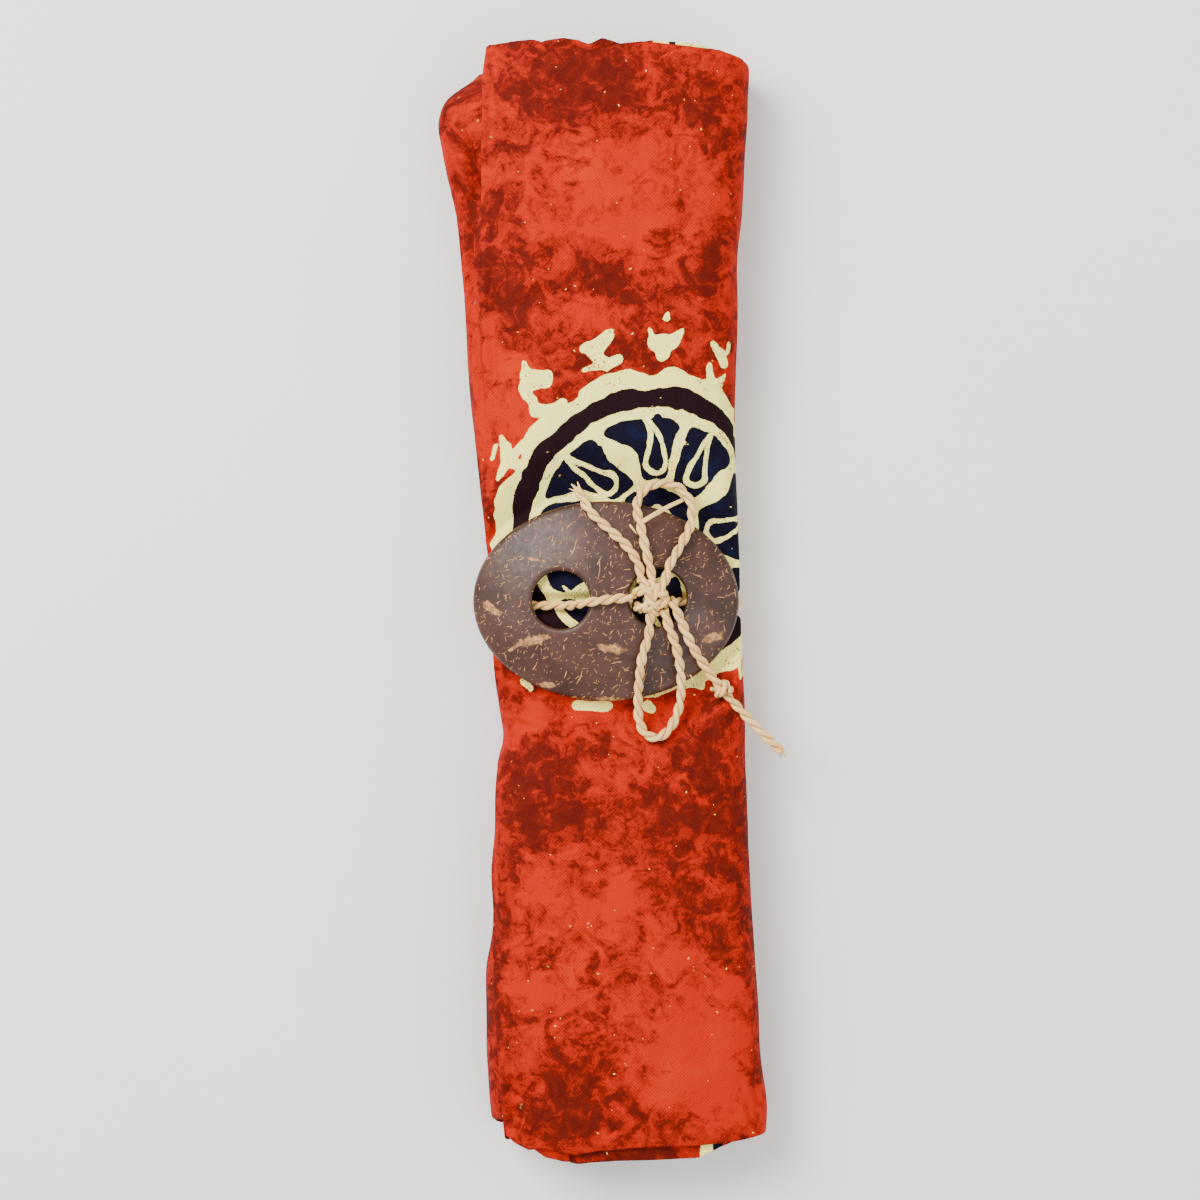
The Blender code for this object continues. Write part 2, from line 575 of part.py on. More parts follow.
def make_shell_buckle():
    """An oval plate cut from a sphere's shell, its rim rounded, with two round holes.

    Each ring is an ellipse of the plate's outline, scaled; its height follows the sphere.
    """
    turn = np.linspace(0.0, 2.0 * math.pi, SHELL_SIDES, endpoint=False)
    rounding = SHELL_RIM_ROUNDING
    shrink = 1.0 - rounding / SHELL_HALF_WIDTH
    upper = [(scale, SHELL_THICKNESS) for scale in (*SHELL_RINGS, shrink)]
    rim = [(1.0, SHELL_THICKNESS - rounding), (1.0, rounding)]
    lower = [(scale, 0.0) for scale in (shrink, *SHELL_RINGS[::-1])]
    mesh = bmesh.new()
    loops = []
    for scale, lift in upper + rim + lower:
        x = SHELL_X + SHELL_HALF_LENGTH * scale * np.cos(turn)
        y = SHELL_Y + SHELL_HALF_WIDTH * scale * np.sin(turn)
        z = shell_underside(x, y) + lift
        loops.append([mesh.verts.new(point) for point in zip(x, y, z)])
    for first, second in zip(loops, loops[1:]):
        for k in range(SHELL_SIDES):
            following = (k + 1) % SHELL_SIDES
            mesh.faces.new((first[k], first[following], second[following], second[k]))
    for loop, lift in ((loops[0], SHELL_THICKNESS), (loops[-1], 0.0)):
        pole = mesh.verts.new((SHELL_X, SHELL_Y, SHELL_UNDERSIDE_Z + lift))
        for k in range(SHELL_SIDES):
            mesh.faces.new((loop[k], loop[(k + 1) % SHELL_SIDES], pole))
    buckle = finish_mesh("shell_buckle", mesh)
    for name, place in (("hole_left_cutter", HOLE_LEFT), ("hole_right_cutter", HOLE_RIGHT)):
        cut = buckle.modifiers.new(name, "BOOLEAN")
        cut.operation = "DIFFERENCE"
        cut.solver = "EXACT"
        cut.object = add_hole_cutter(name, place)
    return buckle


def route_points(route_mm):
    """Points at even steps along a smooth curve through a cord's own points."""
    route = np.array(route_mm) * MM
    chords = np.linalg.norm(np.diff(route, axis=0), axis=1)
    knots = np.concatenate(([0.0], np.cumsum(chords)))
    fine = np.linspace(0.0, knots[-1], CURVE_STEPS)
    curve = np.stack([smooth_curve(fine, knots, route[:, k]) for k in range(3)], axis=-1)
    length = np.concatenate(([0.0], np.cumsum(np.linalg.norm(np.diff(curve, axis=0), axis=1))))
    places = np.linspace(0.0, length[-1], max(3, round(length[-1] / CORD_SPACING) + 1))
    return np.stack([np.interp(places, length, curve[:, k]) for k in range(3)], axis=-1)


def make_cord(name, route_mm):
    """A round cord along its route, with flat closed ends."""
    points = route_points(route_mm)
    data = bpy.data.curves.new(name, "CURVE")
    data.dimensions = "3D"
    data.bevel_depth = CORD_RADIUS
    data.bevel_resolution = 2
    data.use_fill_caps = True
    spline = data.splines.new("POLY")
    spline.points.add(len(points) - 1)
    for point, place in zip(spline.points, points):
        point.co = (*place, 1.0)
    cord = bpy.data.objects.new(name, data)
    parts.objects.link(cord)
    cord.parent = bundle
    return cord


def make_bow_knot():
    """The knot, a tight egg-shaped lump of cord over the right hole."""
    bpy.ops.mesh.primitive_uv_sphere_add(
        segments=KNOT_SEGMENTS, ring_count=KNOT_RINGS, radius=1.0,
        location=KNOT_CENTRE, scale=KNOT_HALF_SIZE,
    )
    knot = bpy.context.object
    bpy.ops.object.transform_apply(location=False, rotation=False, scale=True)
    knot.name = "bow_knot"
    knot.data.name = "bow_knot"
    knot.data.shade_smooth()
    for collection in knot.users_collection:
        collection.objects.unlink(knot)
    parts.objects.link(knot)
    knot.parent = bundle
    return knot


def remove_scene_objects():
    """Empties the scene."""
    for scene_object in list(bpy.data.objects):
        bpy.data.objects.remove(scene_object, do_unlink=True)


def add_collection(name):
    """A collection linked to the scene."""
    collection = bpy.data.collections.new(name)
    bpy.context.scene.collection.children.link(collection)
    return collection


remove_scene_objects()
parts = add_collection("sarong_bundle")
cutters = add_collection("cutters")
bundle = bpy.data.objects.new("bundle_origin", None)
parts.objects.link(bundle)

red_cloth = make_material("red_batik_rayon", (0.72, 0.05, 0.01), 0.75)
dark_cloth = make_material("dark_batik_rayon", (0.38, 0.03, 0.01), 0.75)
coconut = make_material("coconut_shell", (0.13, 0.08, 0.06), 0.35)
palm = make_material("palm_cord", (0.78, 0.62, 0.38), 0.7)

make_outer_turn().data.materials.append(red_cloth)
make_second_turn().data.materials.append(dark_cloth)
make_folded_core().data.materials.append(dark_cloth)
make_shell_buckle().data.materials.append(coconut)
make_bow_knot().data.materials.append(palm)
for cord_name, cord_route in (
    ("tie_band", BAND_ROUTE_MM),
    ("bow_loop_upper", LOOP_UPPER_ROUTE_MM),
    ("bow_loop_lower", LOOP_LOWER_ROUTE_MM),
    ("tail_upper", TAIL_UPPER_ROUTE_MM),
    ("tail_lower", TAIL_LOWER_ROUTE_MM),
):
    make_cord(cord_name, cord_route).data.materials.append(palm)
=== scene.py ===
"""The look of a batik sarong that lies folded and tied with a coconut-shell buckle.

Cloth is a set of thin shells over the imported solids, on the same sections as they have.
The tie is two-ply palm cord. Sizes are in metres unless a name ends in MM.
"""
import math

import bmesh
import bpy
import numpy as np
from bpy.props import FloatProperty, FloatVectorProperty, IntProperty, PointerProperty
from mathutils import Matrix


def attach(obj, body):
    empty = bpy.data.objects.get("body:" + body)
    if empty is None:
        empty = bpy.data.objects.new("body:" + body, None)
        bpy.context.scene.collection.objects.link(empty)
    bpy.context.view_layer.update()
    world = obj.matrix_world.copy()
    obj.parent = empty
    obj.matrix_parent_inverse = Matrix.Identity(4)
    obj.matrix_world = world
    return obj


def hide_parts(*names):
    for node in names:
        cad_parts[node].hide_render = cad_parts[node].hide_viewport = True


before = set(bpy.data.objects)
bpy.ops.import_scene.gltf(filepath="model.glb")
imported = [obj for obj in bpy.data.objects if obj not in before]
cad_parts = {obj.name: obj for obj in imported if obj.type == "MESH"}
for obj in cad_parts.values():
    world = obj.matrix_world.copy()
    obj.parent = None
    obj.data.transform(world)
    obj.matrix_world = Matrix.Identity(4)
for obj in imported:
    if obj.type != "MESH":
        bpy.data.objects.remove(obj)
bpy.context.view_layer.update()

bl_info = {
    "name": "Folded sarong with shell buckle",
    "version": (1, 0, 0),
    "blender": (4, 5, 0),
    "location": "3D View > Sidebar > Sarong",
    "description": "Dresses the folded sarong: batik cloth, shell buckle and palm cord",
    "category": "Add Mesh",
}

MM = 0.001

# Cloth: the wall that four plies make, and the gap between two turns
WALL = 1.2 * MM
TURN_GAP = 0.4 * MM
PITCH = WALL + TURN_GAP

# Section of the bundle, as in the solids
SPINE_X = 3.0 * MM
RIGHT_ROUNDNESS = 3.2
FLOOR_SINK = 0.8 * MM
SECTION_COLUMNS = ("along", "left", "right", "thick", "roundness", "edge")
SECTION_ROWS_MM = (
    (-150, -28.5, 43, 22.5, 2.6, -24), (-141, -29.3, 43.3, 23.8, 2.6, -25.2),
    (-134, -30.2, 43.5, 24.8, 2.6, -26.4), (-123, -31, 42.1, 26, 2.6, -27.3),
    (-105, -31.4, 41, 26.8, 2.6, -28.3), (-98, -31.4, 40.5, 27, 2.6, -28.6),
    (-91, -30.3, 40, 27, 2.7, -28.8), (-84, -29.2, 39.5, 26.9, 2.8, -28.7),
    (-73.5, -29.7, 39, 26.8, 2.9, -29.2), (-61, -28.9, 38.5, 26.4, 3, -28.4),
    (-49, -28.7, 38.1, 25.9, 3, -28.2), (-43, -28.2, 37.8, 25.6, 3, -27.7),
    (-36.5, -26.7, 37.7, 25.3, 3, -26.2), (-30, -27.6, 37.6, 25.1, 3, -27.1),
    (-21, -29, 37.2, 25.1, 3, -28.5), (0, -29.9, 36.5, 25.2, 3, -29.4), (18, -31.5, 36.1, 25.4, 3, -31),
    (32, -33.1, 35.5, 25.7, 3, -32.5), (45, -34.4, 35, 26.1, 3, -33.4), (60, -36, 35.3, 26.6, 2.9, -33.9),
    (76, -37, 35.8, 26.9, 2.7, -33.8), (92, -38.1, 35.8, 27, 2.5, -33.2),
    (101, -39.1, 36.8, 26.9, 2.3, -32.6), (109, -40.9, 37.3, 26.8, 2.2, -32),
    (118.5, -42.8, 37.7, 26.4, 2.1, -31.6), (128, -43.6, 38.3, 25.9, 2.1, -31.3),
    (132.5, -41.8, 38.4, 25.5, 2.1, -31.4), (138.5, -34.5, 38.7, 24.8, 2.3, -31.6),
    (150, -31, 38.2, 23, 2.6, -30.4),
)
# Hollows: across, along, half width, half length, depth
HOLLOW_ROWS_MM = (
    (-34.6, 107, 3.2, 8, 2.2), (-29, -37, 5, 6, 1), (14, 118, 14, 9, 0.7),
)

# The underside is flat inside a four-cornered field with hollow sides and rises softly past it
REST_LEFT = -13.0 * MM
REST_RIGHT = 21.0 * MM
REST_HALF_LENGTH = 124.0 * MM
REST_HOLLOW = 10.0 * MM
REST_SLOPE = 0.06
REST_RISE = 0.5 * MM
REST_FADE = 7.0 * MM

# Folded ends of the turns, as seen from above, and by share of the way round out of sight
OUTER_FAR_MM = (
    (-31, 146), (-19.1, 146.6), (-16.8, 146), (-14.8, 144.2), (-9.9, 144.1), (-3.3, 143.7), (1, 144.1),
    (4.5, 145.4), (10, 146), (20.4, 145), (31, 143.9), (36.2, 142.3), (39, 140),
)
OUTER_NEAR_MM = (
    (-26.3, -137.4), (-25.6, -140), (-23.1, -142.4), (-19.6, -144.1), (-15.3, -143.4), (-11.2, -144.5),
    (-7.2, -145), (-0.7, -143.9), (9.9, -143.1), (25.7, -142.6), (36.2, -141.6), (43, -140.4),
)
SECOND_FAR_MM = (
    (-30, 144.6), (-19, 145.4), (-15.7, 146.5), (-11.2, 147.2), (-6.5, 146.5), (-3.8, 145.6), (-0.5, 147.3),
    (2.5, 146.4), (5.5, 145.3), (12.5, 146.6), (25.7, 145.7), (31, 144), (37, 141),
)
SECOND_NEAR_MM = (
    (-26, -141), (-21.7, -143.2), (-17.8, -145), (-13.8, -146.3), (-7.2, -147.6), (-0.7, -147.1),
    (12.5, -146.8), (25.7, -146.2), (31.5, -143.4), (41, -140),
)
OUTER_BACK_MM = (
    (0.50, 140, -140.4), (0.62, 142.8, -142), (0.78, 144.4, -143.2), (0.90, 142.6, -140.4),
    (0.96, 139.6, -137.2), (1.02, 138.4, -136.3), (1.04, 138.4, -140), (1.06, 138.4, -143.8),
    (1.08, 138.4, -146), (1.11, 138.4, -147.2), (1.20, 138.4, -147.4),
)
SECOND_BACK_MM = (
    (0.50, 141, -140), (0.62, 143.8, -143.4), (0.78, 145.6, -144.6), (0.92, 144.2, -143),
    (1.20, 142.6, -141),
)
OUTER_BACK_END = 1.2
SECOND_BACK_END = 1.12
STEP_LEAD = 0.03
END_ZONE_START = 100.0 * MM
END_ZONE_STOP = 144.0 * MM
RIM_STEPS = 9
RIM_BACK_MM = (0.0, 3.0, 9.0)
RIM_BACK_TURNS = (0.0, 0.014, 0.04)
RIM_RAGGED = 0.45 * MM
ONE_TURN = 0.19
HELD_HALF_WIDTH = 7.0 * MM

# The hidden turns
CORE_DEPTH = 2.0 * PITCH + 1.2 * MM
CORE_CORNER_SET_BACK = 7.0 * MM
CORE_END = 143.5 * MM
CORE_LIPS = 11
CORE_LIP_PITCH = 0.62 * MM
CORE_PRESS = 1.12
CORE_SQUEEZE = 1.25
LEFT_SQUEEZE = 0.8 * MM
CORE_LEFT_SQUEEZE = 0.8 * MM
CORE_SIDE_SQUEEZE = 4.8 * MM
LAYER_CLEARANCE = 0.4 * MM

# The buckle and its holes
SHELL_X = 0.9 * MM
SHELL_Y = -0.3 * MM
SHELL_HALF_LENGTH = 35.0 * MM
SHELL_HALF_WIDTH = 26.2 * MM
SHELL_RADIUS = 72.0 * MM
SHELL_THICKNESS = 3.2 * MM
SHELL_UNDERSIDE_Z = 25.9 * MM
SHELL_REACH = 0.9 * SHELL_RADIUS
HOLE_RADIUS = 7.6 * MM
HOLE_LEFT = (-10.9 * MM, 0.0 * MM)
HOLE_RIGHT = (14.4 * MM, 0.6 * MM)
PRESS_CLEARANCE = 0.5 * MM
PRESS_SOFTNESS = 0.4 * MM
PRESS_RISE = 0.55
PRESS_MARGIN = 2.5 * MM

# The tie and the groove that it presses
CORD_DIAMETER = 2.3 * MM
CORD_RADIUS = CORD_DIAMETER / 2.0
CORD_STEP = 0.42 * MM
PLIES = 2
PLY_SIZE = 0.62
PLY_OFFSET = 0.50
FIBRE_LEAN = 1.6
TIE_Y = -1.1 * MM
GROOVE_DEPTH = 3.1 * MM
GROOVE_HALF_WIDTH = 2.7 * MM
SQUEEZE_HALF_WIDTH = 42.0 * MM
TURN_SQUEEZE = 2.4 * MM
TIE_SQUEEZE_DEPTH = 1.4 * MM
TIE_SQUEEZE_HALF_WIDTH = 9.0 * MM
BAND_ROUTE_MM = (
    (7.7, 0.5, 30.5), (4, 0.4, 30.8), (0.5, 0, 30.9), (-2.4, -0.4, 30.8), (-4.7, -0.8, 30.1),
    (-6.4, -1.1, 28.4), (-8, -1.4, 26.2), (-10.5, -1.5, 24.1), (-13.6, -1.5, 22.7), (-18.7, -1.4, 21.5),
    (-23.4, -1.3, 20.1), (-25.9, -1.2, 19), (-27.8, -1.2, 17.3), (-28.4, -1.1, 12.6), (-28.5, -1.1, 8.4),
    (-27.2, -1.1, 5.6), (-24.8, -1.1, 4), (-20, -1.1, 2.3), (-15, -1.1, 1.3), (-8, -1.1, 1.3),
    (0, -1.1, 1.3), (8, -1.1, 1.3), (15, -1.1, 1.3), (20, -1.1, 1.3), (24.6, -1, 1.5), (29.8, -1, 2.8),
    (34.2, -0.9, 5.8), (35.5, -0.9, 9.5), (35.6, -0.9, 12.6), (35.1, -0.9, 15.2), (33, -0.8, 16.6),
    (30, -0.8, 18), (25.7, -0.7, 19.8), (22.4, -0.6, 20.8), (20.5, -0.5, 21.6), (18.8, -0.3, 23.7),
    (17.5, 0, 26.6),
)
LOOP_UPPER_ROUTE_MM = (
    (13.1, 4.9, 29.3), (12.3, 8.6, 29.4), (11, 14, 28.9), (9.8, 19.8, 27.7), (8.9, 25, 26.1),
    (11, 29, 24.7), (15, 30.6, 23.9), (19.4, 29.8, 23.7), (22.9, 25.8, 24), (23.1, 20.3, 24.9),
    (20.2, 14, 27), (17.2, 8.6, 28.9), (16.1, 4.2, 29.3),
)
LOOP_LOWER_ROUTE_MM = (
    (12.4, -3.5, 29.2), (12, -9, 29.5), (10.4, -14.5, 28.9), (9.6, -20.3, 27.7), (9.3, -26.1, 26.1),
    (9.6, -31.6, 25.4), (11.2, -35, 25.6), (14.4, -36, 26), (17.6, -33.5, 25.4), (19.8, -28.7, 25),
    (20.5, -20.3, 25.9), (19, -11.6, 27.9), (17, -6.2, 28.8), (15.9, -2.6, 29),
)
TAIL_UPPER_ROUTE_MM = (
    (10.2, 4.7, 29.4), (9.2, 9.5, 29.7), (6.3, 14, 29.4), (2, 18.1, 28.5), (-3.3, 23.2, 26.9),
    (-6.7, 29, 23.4),
)
TAIL_LOWER_ROUTE_MM = (
    (18.2, -0.3, 29.7), (20, -4.4, 28.5), (23.2, -11.6, 26.8), (27.2, -17.9, 24.7), (31.6, -23.7, 22.9),
    (36.8, -29.5, 21.6), (42.6, -35.6, 20.5), (47.1, -39.8, 19.6),
)

# Creases: the face they lie on, half width, depth, ridge beside, and their points, which are
# x and y on the top and the underside, z and y on the two sides
CREASE_GAIN = 1.5
CREASE_FADE = 0.3
CREASE_ROWS_MM = (
    ("top", 1.1, 0.9, 0.6, ((-36.6, 127), (-35.6, 117), (-34.9, 109), (-35.2, 101))),
    ("top", 1, 0.7, 0.6, ((-40, 121), (-38.4, 108), (-36.4, 92), (-34.6, 74))),
    ("top", 0.8, 0.6, 0.6, ((-33.8, 88), (-33.2, 70), (-31.8, 52), (-30.6, 40))),
    ("top", 0.9, 0.5, 0.5, ((-28.6, 96), (-29.6, 78), (-28.4, 60), (-27.4, 46))),
    ("top", 1.2, 0.75, 0.6, ((-25.2, -30.3), (-21.7, -32.7), (-16, -34.6), (-12.3, -36.4))),
    ("top", 0.7, 0.6, 0.5, ((-24, -122.8), (-24.4, -127.1), (-24.4, -135.8), (-26, -139))),
    ("top", 0.7, 0.55, 0.5, ((-21.6, -125.7), (-22.3, -129.4), (-23.6, -133.6), (-24.9, -139))),
    ("top", 0.8, 0.5, 0.4, ((39, -126), (40.3, -129.2), (41.3, -134))),
    ("top", 0.7, 0.45, 0.4, ((37.2, -132), (39, -136), (39.8, -140))),
    ("top", 2.2, 0.55, 0.5, ((-19, 27.5), (-23, 36), (-26, 47))),
    ("top", 1.6, 0.4, 0.4, ((-9, 29), (-11, 37), (-12, 43))),
    ("top", 2.4, 0.5, 0.4, ((25, 24.5), (29, 33), (31, 45))), ("top", 1.5, 0.35, 0.4, ((6, 30), (7, 38))),
    ("top", 2, 0.5, 0.5, ((-18.5, -27), (-22, -38), (-24, -52))),
    ("top", 2.3, 0.5, 0.4, ((24, -26), (28, -36), (29.5, -50))),
    ("top", 1.5, 0.35, 0.4, ((-6, -30), (-8, -40))),
    ("top", 4.5, 0.4, 0.3, ((-12, 62), (-8, 100), (-13, 139))),
    ("top", 4, 0.35, 0.3, ((18, 72), (22, 108), (19, 141))),
    ("top", 4.6, 0.4, 0.3, ((2, -58), (-3, -98), (4, -139))),
    ("top", 3.6, 0.35, 0.3, ((26, -60), (24, -94), (30, -128))),
    ("top", 2.6, 0.3, 0.4, ((-20, -80), (-8, -90), (3, -94))),
    ("top", 2.4, 0.28, 0.4, ((29, 96), (20, 101), (9, 100))),
    ("top", 2, 0.25, 0.4, ((-27, 74), (-18, 80), (-10, 79))),
    ("top", 1.4, 0.3, 0.5, ((-27.5, 118), (-28.2, 98), (-27, 78))),
    ("left", 0.9, 0.5, 0.5, ((20, 118), (19, 96), (17.5, 72), (16, 54))),
    ("left", 0.8, 0.45, 0.5, ((15.5, 112), (15, 90), (14.2, 66))),
    ("left", 1, 0.5, 0.5, ((10.5, 120), (11.5, 98), (10, 80))),
    ("left", 1.2, 0.5, 0.4, ((9, -40), (12, -70), (10, -98), (12.5, -126))),
    ("left", 0.8, 0.4, 0.5, ((17, -60), (16, -84), (18, -104))),
    ("left", 1.4, 0.45, 0.4, ((7, 60), (8.5, 36), (7, 14))),
    ("right", 1.4, 0.5, 0.4, ((14, -126), (12, -96), (15, -58))),
    ("right", 1, 0.4, 0.5, ((7.5, -110), (8.5, -84))),
    ("right", 1.2, 0.45, 0.4, ((9, 58), (11, 92), (8, 128))),
    ("right", 0.9, 0.4, 0.5, ((17, 34), (15, 60), (16.5, 84))),
    ("right", 1.1, 0.4, 0.4, ((12, -12), (10, -30), (12.5, -44))),
    ("under", 1.6, 0.45, 0, ((-18, 132), (-14, 96), (-19, 58))),
    ("under", 2.2, 0.4, 0, ((12, 136), (16, 104), (10, 66), (14, 30))),
    ("under", 1.2, 0.4, 0, ((28, 88), (22, 74), (12, 70))),
    ("under", 1.8, 0.45, 0, ((-10, -28), (-14, -62), (-8, -104), (-13, -134))),
    ("under", 1.3, 0.4, 0, ((22, -36), (26, -70), (21, -96))),
    ("under", 1, 0.35, 0, ((4, -84), (14, -92), (27, -90))),
)

# The wax-resist medallion, in millimetres and degrees about its centre: its radii from the eye
# outwards, and the ink of places away from it, as distances from its centre
MEDALLION_X_MM = 13.05
MEDALLION_Y_MM = 17.9
EYE_RADIUS_MM = 6.4
HUB_RADIUS_MM = 12.0
HUB_EDGE_MM = 13.4
NET_RADIUS_MM = 31.4
RING_RADIUS_MM = 37.4
BAND_RADIUS_MM = 41.9
INKED = 20.0
PLAIN = 60.0
# Painted shade between the threads of the weave: how much, and its colour
WEAVE_SHADE = 0.24
WEAVE_GAP_SHADE_COLOUR = (0.25, 0.20, 0.20)
# Dividers: angle, twist, half width, swell, radius of the spur, its length
DIVIDER_ROWS = (
    (167, -20, 0.9, 0.5, 26, 0.6), (120.5, -13.5, 1.1, 2.2, 26.5, 1.8), (73, 0, 0.9, 0.3, 24.3, -2.3),
    (38, -7, 1.3, 1.3, 20, 1.2), (-17, -6, 1.1, 0.6, 24, -1.8), (-61, 5, 0.9, 1.2, 22, 2.1),
    (-106, -5, 1, 0.9, 24.5, 2), (-146, 16, 0.9, 1.4, 26, -2.6),
)
# Teardrops: angle and radius of the base, of the tip, width, bend
TEAR_ROWS = (
    (133.5, 17.9, 139.7, 28.7, 2.75, 0.012), (87.5, 18.1, 92, 29.6, 2.65, -0.014),
    (51.7, 18.5, 58, 29, 2.65, 0.012), (1, 18, 7, 28, 2.8, -0.014), (-42, 18.2, -36, 28.2, 2.7, 0.012),
    (-85, 18, -80, 28.4, 2.6, -0.012), (-126, 18.4, -122, 28, 2.7, 0.012),
    (-172, 18.2, -168, 28.2, 2.7, -0.012),
)
# Notches: angle, radius from and to, half width
NOTCH_ROWS = (
    (86, 28.4, 32.4, 1.5), (-60, 29.5, 32.2, 1.2),
)
# Splashes round the hidden side: angle, radius, width, height, lean, side of the hook
CROWN_ROWS = (
    (43, 48.2, 9, 9.6, -0.16, 1), (20, 48, 9.4, 9, 0.22, -1), (-3, 48.4, 8.8, 9.8, -0.14, 1),
    (-26, 48, 9.4, 9.2, 0.12, -1), (-49, 48.6, 8.8, 9.6, 0.20, 1), (-152, 45.6, 7.4, 8, -0.18, 1),
)
# Strokes of the splashes: group, x, y, far x, far y, radius, far radius
SPLASH_ROWS = (
    ("B", 1.4, 69.1, -2.2, 65.4, 1.58, 2.11), ("B", -2.2, 65.4, -4.6, 65.1, 1.85, 1.05),
    ("B", -1.7, 63.8, 0.1, 61.4, 1.85, 1.58), ("B", 0.4, 61.2, 4.1, 62.7, 1.45, 1.19),
    ("B", 0.1, 60.6, -5.1, 60.1, 1.05, 0.53), ("B", 1.4, 68.8, 2.9, 70.6, 1.05, 0.4),
    ("C", 14.1, 67.2, 18.3, 67.2, 2.1, 2), ("C", 15.7, 66.2, 15.9, 64.3, 2.9, 2.37),
    ("C", 13, 66.4, 11.9, 71.2, 1.45, 0.4), ("C", 18.3, 67, 21, 69.9, 1.85, 0.79),
    ("A", -19.1, 57.5, -15.4, 57.7, 3.03, 2.37), ("A", -20.2, 59, -20.8, 61.9, 1.45, 0.53),
    ("A", -20.7, 54.8, -18.3, 52.2, 1.71, 1.45), ("A", -17.8, 49.8, -13.3, 49.8, 1.32, 1.32),
    ("A", -13.3, 49.8, -10.4, 51.9, 1.32, 1.05), ("E", -27.5, 42.7, -25.2, 38, 0.53, 1.58),
    ("E", -21, 40.9, -24.4, 36.9, 0.66, 1.58), ("E", -24.4, 36.9, -27.8, 31.6, 1.58, 0.66),
    ("E", -23.9, 36.4, -20.2, 34.3, 1.45, 1.32), ("F", -28.6, 40.3, -29.1, 37.7, 0.53, 0.66),
    ("G", -27.8, 23.2, -28.3, 19, 0.66, 0.79), ("G", -28.3, 19, -29.4, 14.5, 0.79, 1.19),
    ("G", -29.4, 14.5, -27.8, 11.6, 1.19, 0.53), ("D", 29.1, 67.2, 31.5, 64.3, 0.79, 1.19),
    ("D", 31.5, 64.3, 32.8, 61.7, 1.19, 1.19), ("D", 33.9, 66.7, 33.9, 65.1, 0.58, 0.53),
    ("H", 28.1, 61.7, 29.1, 56.4, 0.66, 1.58), ("H", 33.3, 58.8, 30.4, 55.9, 0.53, 1.58),
    ("I", -5.4, 54.3, -0.1, 56.4, 1.3, 1.8), ("J", -21.2, -21.6, -19.1, -22.7, 1.05, 0.79),
    ("K", -6.2, -28.2, 1.4, -27.9, 1.32, 1.58), ("L", 12, -27.9, 12.8, -28.5, 1.58, 1.32),
    ("M", 22, -21.6, 26.2, -22.7, 1.05, 1.32),
)
# Loose bits: x, y, half length, radius, angle
WAX_BIT_ROWS = (
    (16.7, 73.8, 0.3, 1.15, 80), (37.8, -16, 4.2, 0.8, 88), (11, 67.6, 0.2, 0.35, 20),
    (7.4, 69.6, 0.3, 0.4, 60),
)

# Dye set on the top: x, y, half width, half length, and how much darker
DYE_ROWS = (
    (-3.3, 134.4, 17, 11, 0.50), (25.7, 133, 9, 9, 0.50), (4.6, 102.8, 17, 12, -0.55),
    (-24.4, 84.4, 4, 14, 0.45), (3.3, 83, 8, 4.5, 0.45), (12.5, 61.5, 17, 9.5, 0.50),
    (-20.4, 43.5, 7, 9, -0.50), (29.7, 92.3, 4, 14, 0.45), (2, -52, 32, 15, 0.38),
    (-17, -30.3, 3.6, 5, -0.70), (-0.7, -47.4, 10, 5, -0.50), (4.6, -79, 6, 8, -0.50),
    (-21.7, -101.5, 10, 7, -0.40), (26.8, -122.6, 16, 18, -0.45), (-7.2, -126.5, 11, 15, 0.42),
    (-29.7, -113, 3, 22, 0.50), (22, -78, 9, 12, 0.30),
)

# Stage: what the camera looks at from straight above, how far off it is, and how wide it sees
# there; lights: name, place, size, power
CAMERA_TARGET = (-0.0007, 0.0, 0.026)
CAMERA_DISTANCE = 0.90
CAMERA_VIEW = 0.3137
CAMERA_SENSOR_MM = 36.0
LIGHT_ROWS = (
    ("key_light", (-0.62, 0.55, 0.95), 0.7, 31.0),
    ("fill_light", (0.75, -0.35, 1.00), 1.2, 11.0),
)
LIGHT_TARGET = (0.0, 0.0, 0.02)
SKY_COLOUR = (1.0, 0.99, 0.97, 1.0)
SKY_POWER = 0.95
FLOOR_REACH = 3.0

# How finely the skin's table and the curves are made
TABLE_ALONG = np.linspace(-0.150, 0.150, 601)
TABLE_STEP = TABLE_ALONG[1] - TABLE_ALONG[0]
TABLE_SHARE = np.linspace(0.0, 1.0, 769)
SECTION_STEPS = 1440
CURVE_STEPS = 800


def smooth_step(value):
    """Rises from 0 to 1 with level ends, for values from 0 to 1: t * t * (3 - 2 t)."""
    value = np.clip(value, 0.0, 1.0)
    return value * value * (3.0 - 2.0 * value)


def smooth_curve(value, knots, heights):
    """A curve through the knots: one cubic to each gap, its slopes taken from the neighbours."""
    knots = np.asarray(knots, dtype=float)
    heights = np.asarray(heights, dtype=float)
    slopes = np.gradient(heights, knots, axis=0)
    value = np.clip(value, knots[0], knots[-1])
    gap = np.clip(np.searchsorted(knots, value, side="right") - 1, 0, len(knots) - 2)
    width = knots[gap + 1] - knots[gap]
    t = (value - knots[gap]) / width
    first = (1.0 + 2.0 * t) * (1.0 - t) ** 2 * heights[gap]
    first += t * (1.0 - t) ** 2 * width * slopes[gap]
    second = t * t * (3.0 - 2.0 * t) * heights[gap + 1]
    second -= t * t * (1.0 - t) * width * slopes[gap + 1]
    return first + second


def station(column, along):
    """A column of the section table at places along the bundle."""
    rows = np.array(SECTION_ROWS_MM)
    scale = 1.0 if column == "roundness" else MM
    return smooth_curve(along, rows[:, 0] * MM, rows[:, SECTION_COLUMNS.index(column)] * scale)


